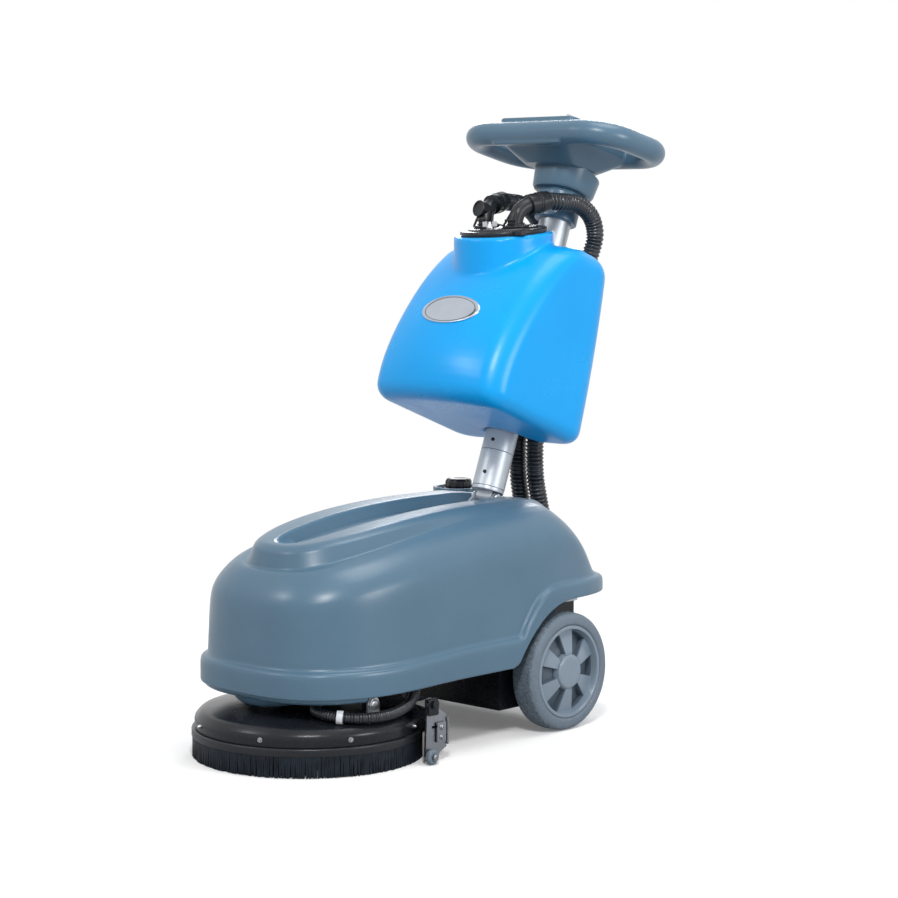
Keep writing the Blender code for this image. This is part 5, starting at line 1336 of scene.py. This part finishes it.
# strap between the fittings, and a wing nut that holds it
strapLine = [(0.012, -0.012, 0.018), (0.000, -0.018, 0.022), (-0.012, -0.014, 0.026),
             (-0.022, -0.002, 0.036), (-0.033, 0.010, 0.050)]
path, places = smoothPath([(x, y, z - 0.003) for x, y, z in strapLine], 0.001)
add("lidStrap", moved(sweep(path, 0.0016, 10), lidFrame), "black_rubber",
    "lid", sharp=60, slot="black_rubber")
nut = gather(lathe([(0, 0.0118), (0.0062, 0.0118), (0.0062, 0.0150), (0.0040, 0.0190),
                    (0.0022, 0.0240), (0, 0.0245)], 28, ease=0.0004),
             block((-0.0125, -0.0012, 0.0155), (-0.0042, 0.0012, 0.0245)),
             block((0.0042, -0.0012, 0.0155), (0.0125, 0.0012, 0.0245)))
add("wingNut", moved(nut, lidFrame @ shift(0.000, -0.034, 0) @ turn(35, "Z")),
    "zinc_plated_steel", "lid", bevel=0.0009, slot="zinc_plated_steel")
print("lid done")


# ---- handle: socket, pod, ring and control panel

socketRings = [(0.0405, 0.5352), (0.0420, 0.5380), (0.0420, 0.5525), (0.0400, 0.5545),
               (0.0400, 0.5562), (0.0490, 0.5580), (0.0520, 0.5630), (0.0560, 0.5975)]
socketShape = []
for radius, height in socketRings:
    outline = roundedBox(radius, radius, 0.86 * radius, 12)
    slope = math.tan(math.radians(7.8)) if height > 0.59 else 0.0
    socketShape.append(np.column_stack((outline, height - outline[:, 1] * slope)))
socketShape.append(np.column_stack((roundedBox(0.0290, 0.0290, 0.0289, 12),
                                    np.full(len(outline), 0.5970))))
socketShape.append(np.column_stack((roundedBox(0.0290, 0.0290, 0.0289, 12),
                                    np.full(len(outline), 0.5352))))
socketShape.append(socketShape[0].copy())
add("handleSocket", moved(skin(np.array(socketShape)), mastFrame), "slate_plastic",
    "mast", ("handle_socket",), bevel=0.0012, sharp=40)
collar = lathe([(0.0288, 0.505), (0.0362, 0.505), (0.0378, 0.5066), (0.0378, 0.5250),
                (0.0364, 0.5262), (0.0364, 0.5282), (0.0378, 0.5294), (0.0378, 0.5347),
                (0.0288, 0.5347)], 96, ring=True, ease=0.0005)
add("socketSleeve", moved(collar, mastFrame), "slate_plastic", "mast",
    ("socket_collar",), sharp=40, slot="slate_plastic")

grip = {"halfX": 0.1625, "halfY": 0.091, "corner": 0.0645, "tube": 0.0205, "voxel": 0.0020,
        "passes": 8}
loop = roundedBox(grip["halfX"], grip["halfY"], grip["corner"], 24)
loop = np.column_stack((loop, np.zeros(len(loop))))
ringTube = sweep(np.concatenate((loop, loop[:1])), grip["tube"], 40, (0, 0, 1), closed=True)


def podShape(rows):
    points = []
    for halfX, halfY, corner, height, y in rows:
        outline = roundedBox(halfX, halfY, corner, 10)
        points.append(np.column_stack((outline[:, 0], outline[:, 1] + y,
                                       np.full(len(outline), height))))
    return skin(np.array(points), capLow=True, capHigh=True)


pod = podShape([(0.0535, 0.0550, 0.032, -0.0428, 0), (0.0550, 0.0570, 0.030, -0.0405, 0),
                (0.0600, 0.0650, 0.024, -0.034, 0), (0.0670, 0.0755, 0.018, -0.025, 0),
                (0.0770, 0.0890, 0.012, -0.013, 0), (0.0810, 0.0915, 0.010, -0.006, 0),
                (0.0810, 0.0915, 0.010, 0.012, 0)])
# small raised edge where the pod leaves the front bar
podLip = sweep(np.array([(x, -0.0995, -0.0180) for x in np.linspace(-0.076, 0.076, 30)]),
               0.0046, 12, (0, 0, 1))
handleMesh = moulded("handleRing", [moved(ringTube, handleFrame), moved(pod, handleFrame),
                                    moved(podLip, handleFrame)],
                     grip["voxel"], grip["passes"])
place("handleRing", handleMesh, "slate_plastic", "mast", ("handle_frame",), sharp=60)

# control panel: raised plate with a step, two push buttons and a key switch
panel = {"y": -0.052, "top": 0.030, "corner": 0.012}


def plateRows(rows):
    points = []
    for halfX, halfY, height in rows:
        outline = roundedBox(halfX, halfY, min(panel["corner"], halfY * 0.4), 8)
        points.append(np.column_stack((outline[:, 0], outline[:, 1] + panel["y"],
                                       np.full(len(outline), height))))
    return skin(np.array(points), capLow=True, capHigh=True)


panelShape = plateRows([(0.0880, 0.0400, 0.0), (0.0880, 0.0400, 0.0190),
                        (0.0873, 0.0393, 0.0212), (0.0855, 0.0375, 0.0222),
                        (0.0845, 0.0365, 0.0236), (0.0842, 0.0362, 0.0280),
                        (0.0834, 0.0354, 0.0296), (0.0820, 0.0340, 0.0300),
                        (0.0780, 0.0300, 0.0300), (0.0772, 0.0292, 0.0294),
                        (0.0765, 0.0285, 0.0294)])
add("panelPlate", moved(panelShape, handleFrame), "slate_plastic", "mast",
    ("control_panel",), sharp=30)
buttonShape = lathe([(0, -0.006), (0.0090, -0.006), (0.0090, 0.0030), (0.0078, 0.0045),
                     (0.0055, 0.0040), (0, 0.0038)], 48, ease=0.0006)
bezelShape = lathe([(0.0094, -0.001), (0.0118, -0.001), (0.0118, 0.0008), (0.0108, 0.0018),
                    (0.0094, 0.0014)], 48, ring=True, ease=0.0003)
for x, name, body in ((-0.045, "brush", "brush_control"), (0.0, "vacuum", "vacuum_control")):
    spot = handleFrame @ shift(x, panel["y"], panel["top"])
    add(name + "Button", moved(buttonShape, spot), "white_plastic", body,
        (name + "_button",), sharp=40)
    add(name + "Bezel", moved(bezelShape, spot), "black_plastic", "mast",
        sharp=40, slot="black_plastic")
spot = handleFrame @ shift(0.048, panel["y"], panel["top"])
add("keyBezel", moved(bezelShape, spot), "black_plastic", "mast", sharp=40, slot="black_plastic")
rounded("key_switch", "zinc_plated_steel", "key", 0.0004)
print("handle done")


# ---- ribbed hoses

hose = {"radius": 0.0155, "pitch": 0.0068, "depth": 0.0029}
upperRoute = ((0.0600, 0.1250, 0.8890), (0.0640, 0.1650, 0.8850), (0.0640, 0.2000, 0.8660),
              (0.0610, 0.2180, 0.8350), (0.0540, 0.2160, 0.8000), (0.0420, 0.2010, 0.7500),
              (0.0300, 0.1820, 0.6900), (0.0200, 0.1620, 0.6300))
lowerRoute = ((0.0188, 0.1280, 0.5550), (0.0192, 0.1130, 0.5050), (0.0196, 0.1075, 0.4600),
              (0.0200, 0.1090, 0.4100), (0.0210, 0.1170, 0.3700), (0.0222, 0.1255, 0.3350),
              (0.0225, 0.1275, 0.3263), (0.0225, 0.1275, 0.3166))
clipHeight = 0.2338


def ended(side, offset):
    last = Vector((side * elbowLine[-1][0], elbowLine[-1][1], lidPart["top"] + elbowLine[-1][2]))
    before = Vector((side * elbowLine[-2][0], elbowLine[-2][1], lidPart["top"] + elbowLine[-2][2]))
    return lidFrame @ (last + (last - before).normalized() * offset)


def atClip(side, offset):
    return mastFrame @ Vector((side * 0.0185, 0.060, clipHeight + offset))


# a ribbed hose with plain ends, cut into one shape at each given point of its route
def hoseShapes(route, smoothLow, smoothHigh, cuts=()):
    path, places = smoothPath(route, 0.0011)
    total = places[-1]
    radius = ribs(places, hose["radius"], hose["pitch"], hose["depth"])
    flat = np.clip((smoothLow - places) / 0.0025, 0, 1) + np.clip((places - total + smoothHigh)
                                                                  / 0.0025, 0, 1)
    flat = np.clip(flat, 0, 1)
    radius = radius * (1 - flat) + hose["radius"] * flat
    marks = [int(np.argmin(np.linalg.norm(path - np.array(cut), axis=1))) for cut in cuts]
    marks = [0] + marks + [len(path) - 1]
    shapes = [sweep(path[low:high + 1], radius[low:high + 1], 28)
              for low, high in zip(marks, marks[1:])]
    return shapes, [Vector(path[mark]) for mark in marks]


for side, name in bothSides:
    world = [axleFrame @ Vector((side * x, y, z)) for x, y, z in upperRoute]
    route = [ended(side, 0.0006), ended(side, 0.015)] + world + [atClip(side, 0.022),
                                                                 atClip(side, 0.0003)]
    # its first part follows the lid and the tank, and the rest follows the tank and the mast
    (bend, run), (top, turning, bottom) = hoseShapes([tuple(p) for p in route], 0.020, 0.012,
                                                     # cut in two at the third point of its route:
                                                     # the bend at the lid and the run down to the
                                                     # clip
                                                     (tuple(world[2]),))
    strung(name + "HoseBend", bend, "hose")
    strung(name + "UpperHose", run, "hose",
           (name + "_hose_upper",))
    # two-step cuff where the hose leaves the fitting
    low, high = ended(side, 0.0004), ended(side, 0.021)
    path = np.array([tuple(low.lerp(high, t)) for t in np.linspace(0, 1, 24)])
    along = np.linspace(0, 1, 24)
    radius = np.where(along < 0.55, 0.0182, 0.0170)
    radius = np.where((along < 0.06) | (along > 0.96), radius - 0.0010, radius)
    add(name + "Cuff", sweep(path, radius, 40), "black_plastic", "lid",
        bevel=0.0006, sharp=35, slot="black_plastic")
    world = [axleFrame @ Vector((side * x, y, z)) for x, y, z in lowerRoute]
    route = [atClip(side, -0.0003), atClip(side, -0.022)] + world
    (drop,), (held, inlet) = hoseShapes([tuple(p) for p in route], 0.012, 0.006)
    strung(name + "LowerHose", drop, "hose",
           (name + "_hose_lower",))
print("hoses done")


# ---- camera, lights and floor

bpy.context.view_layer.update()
view = {"place": (2.77, -2.9103, 0.862), "aim": (0, -0.0503, 0.478), "lens": 96.2, "shift": 0.0491}
scene = bpy.context.scene
camera = bpy.data.objects.new("mainCamera", bpy.data.cameras.new("mainCamera"))
scene.collection.objects.link(camera)
camera.location = view["place"]
aimed = Vector(view["aim"]) - Vector(view["place"])
camera.rotation_euler = aimed.to_track_quat("-Z", "Y").to_euler()
camera.data.sensor_width = 36
camera.data.lens = view["lens"]
camera.data.shift_x = view["shift"]
camera.data.clip_end = 60
camera.data.dof.use_dof = False
scene.camera = camera
scene.view_settings.view_transform = "Standard"

# white room: the camera sees plain white, surfaces are lit a little below it
room = {"level": 0.42, "seen": 1.0}
world = bpy.data.worlds.new("room")
scene.world = world
world.use_nodes = True
tree = world.node_tree
tree.nodes.clear()
out = tree.nodes.new("ShaderNodeOutputWorld")
mix = tree.nodes.new("ShaderNodeMixShader")
path = tree.nodes.new("ShaderNodeLightPath")
lit = tree.nodes.new("ShaderNodeBackground")
plain = tree.nodes.new("ShaderNodeBackground")
lit.inputs["Color"].default_value = (0.96, 0.98, 1.0, 1)
lit.inputs["Strength"].default_value = room["level"]
plain.inputs["Color"].default_value = (1, 1, 1, 1)
plain.inputs["Strength"].default_value = room["seen"]
clear = tree.nodes.new("ShaderNodeMath")
clear.operation = "MAXIMUM"
shown = tree.nodes.new("ShaderNodeMath")
shown.operation = "MAXIMUM"
tree.links.new(path.outputs["Is Glossy Ray"], clear.inputs[0])
tree.links.new(path.outputs["Is Transmission Ray"], clear.inputs[1])
tree.links.new(path.outputs["Is Camera Ray"], shown.inputs[0])
tree.links.new(clear.outputs[0], shown.inputs[1])
tree.links.new(shown.outputs[0], mix.inputs[0])
tree.links.new(lit.outputs[0], mix.inputs[1])
tree.links.new(plain.outputs[0], mix.inputs[2])
tree.links.new(mix.outputs[0], out.inputs["Surface"])


def softLight(name, place, aim, size, power, colour=(1, 1, 1)):
    lamp = bpy.data.lights.new(name, "AREA")
    lamp.shape = "DISK"
    lamp.size = size
    lamp.energy = power
    lamp.color = colour
    holder = bpy.data.objects.new(name, lamp)
    scene.collection.objects.link(holder)
    holder.location = place
    holder.rotation_euler = (Vector(aim) - Vector(place)).to_track_quat("-Z", "Y").to_euler()
    return holder


softLight("keyLight", (1.78, -1.90, 2.60), (0, -0.1, 0.50), 0.55, 56, (1.0, 0.99, 0.98))
softLight("frontLight", (-1.10, -2.30, 2.30), (0, -0.25, 0.35), 0.5, 15)
softLight("topLight", (0.6, 0.5, 3.0), (0, -0.1, 0.4), 1.5, 24)
softLight("rearLight", (-1.6, 2.2, 1.7), (0, 0, 0.6), 1.2, 28, (0.97, 0.98, 1.0))
softLight("sideLight", (3.1, 0.6, 1.2), (0, 0, 0.45), 1.1, 30)

# white floor that catches only a soft shadow
sheet = {"reach": 2.4, "fadeFrom": 0.75, "fadeTo": 1.9, "bright": 0.95, "dim": 0.58, "lift": 0.12}
floorMesh = bpy.data.meshes.new("floorSheet")
reach = sheet["reach"]
floorMesh.from_pydata([(-reach, -reach, 0), (reach, -reach, 0), (reach, reach, 0),
                       (-reach, reach, 0)], [], [(0, 1, 2, 3)])
floorSheet = bpy.data.objects.new("floorSheet", floorMesh)
scene.collection.objects.link(floorSheet)
floorLook = bpy.data.materials.new("whiteFloor")
floorLook.use_nodes = True
tree = floorLook.node_tree
paint = tree.nodes["Principled BSDF"]
paint.inputs["Roughness"].default_value = 0.95
paint.inputs["Specular IOR Level"].default_value = 0.1
paint.inputs["Emission Strength"].default_value = 1.0
path = tree.nodes.new("ShaderNodeLightPath")
either = tree.nodes.new("ShaderNodeMath")
either.operation = "MAXIMUM"
tree.links.new(path.outputs["Is Camera Ray"], either.inputs[0])
tree.links.new(path.outputs["Is Transmission Ray"], either.inputs[1])
for socket, low, high in (("Base Color", sheet["dim"], sheet["bright"]),
                          ("Emission Color", 0.0, sheet["lift"])):
    shade = tree.nodes.new("ShaderNodeMix")
    shade.data_type = "RGBA"
    shade.inputs["A"].default_value = (low, low, low, 1)
    shade.inputs["B"].default_value = (high, high, high, 1)
    tree.links.new(either.outputs[0], shade.inputs["Factor"])
    tree.links.new(shade.outputs["Result"], paint.inputs[socket])
# the sheet fades out with the distance from its middle, so no far edge shows
where = tree.nodes.new("ShaderNodeTexCoord")
far = tree.nodes.new("ShaderNodeVectorMath")
far.operation = "LENGTH"
fade = tree.nodes.new("ShaderNodeMapRange")
fade.interpolation_type = "SMOOTHSTEP"
fade.inputs["From Min"].default_value = sheet["fadeFrom"]
fade.inputs["From Max"].default_value = sheet["fadeTo"]
gone = tree.nodes.new("ShaderNodeBsdfTransparent")
blendOut = tree.nodes.new("ShaderNodeMixShader")
tree.links.new(where.outputs["Object"], far.inputs[0])
tree.links.new(far.outputs["Value"], fade.inputs["Value"])
tree.links.new(fade.outputs["Result"], blendOut.inputs[0])
tree.links.new(paint.outputs[0], blendOut.inputs[1])
tree.links.new(gone.outputs[0], blendOut.inputs[2])
tree.links.new(blendOut.outputs[0], tree.nodes["Material Output"].inputs["Surface"])
floorMesh.materials.append(floorLook)
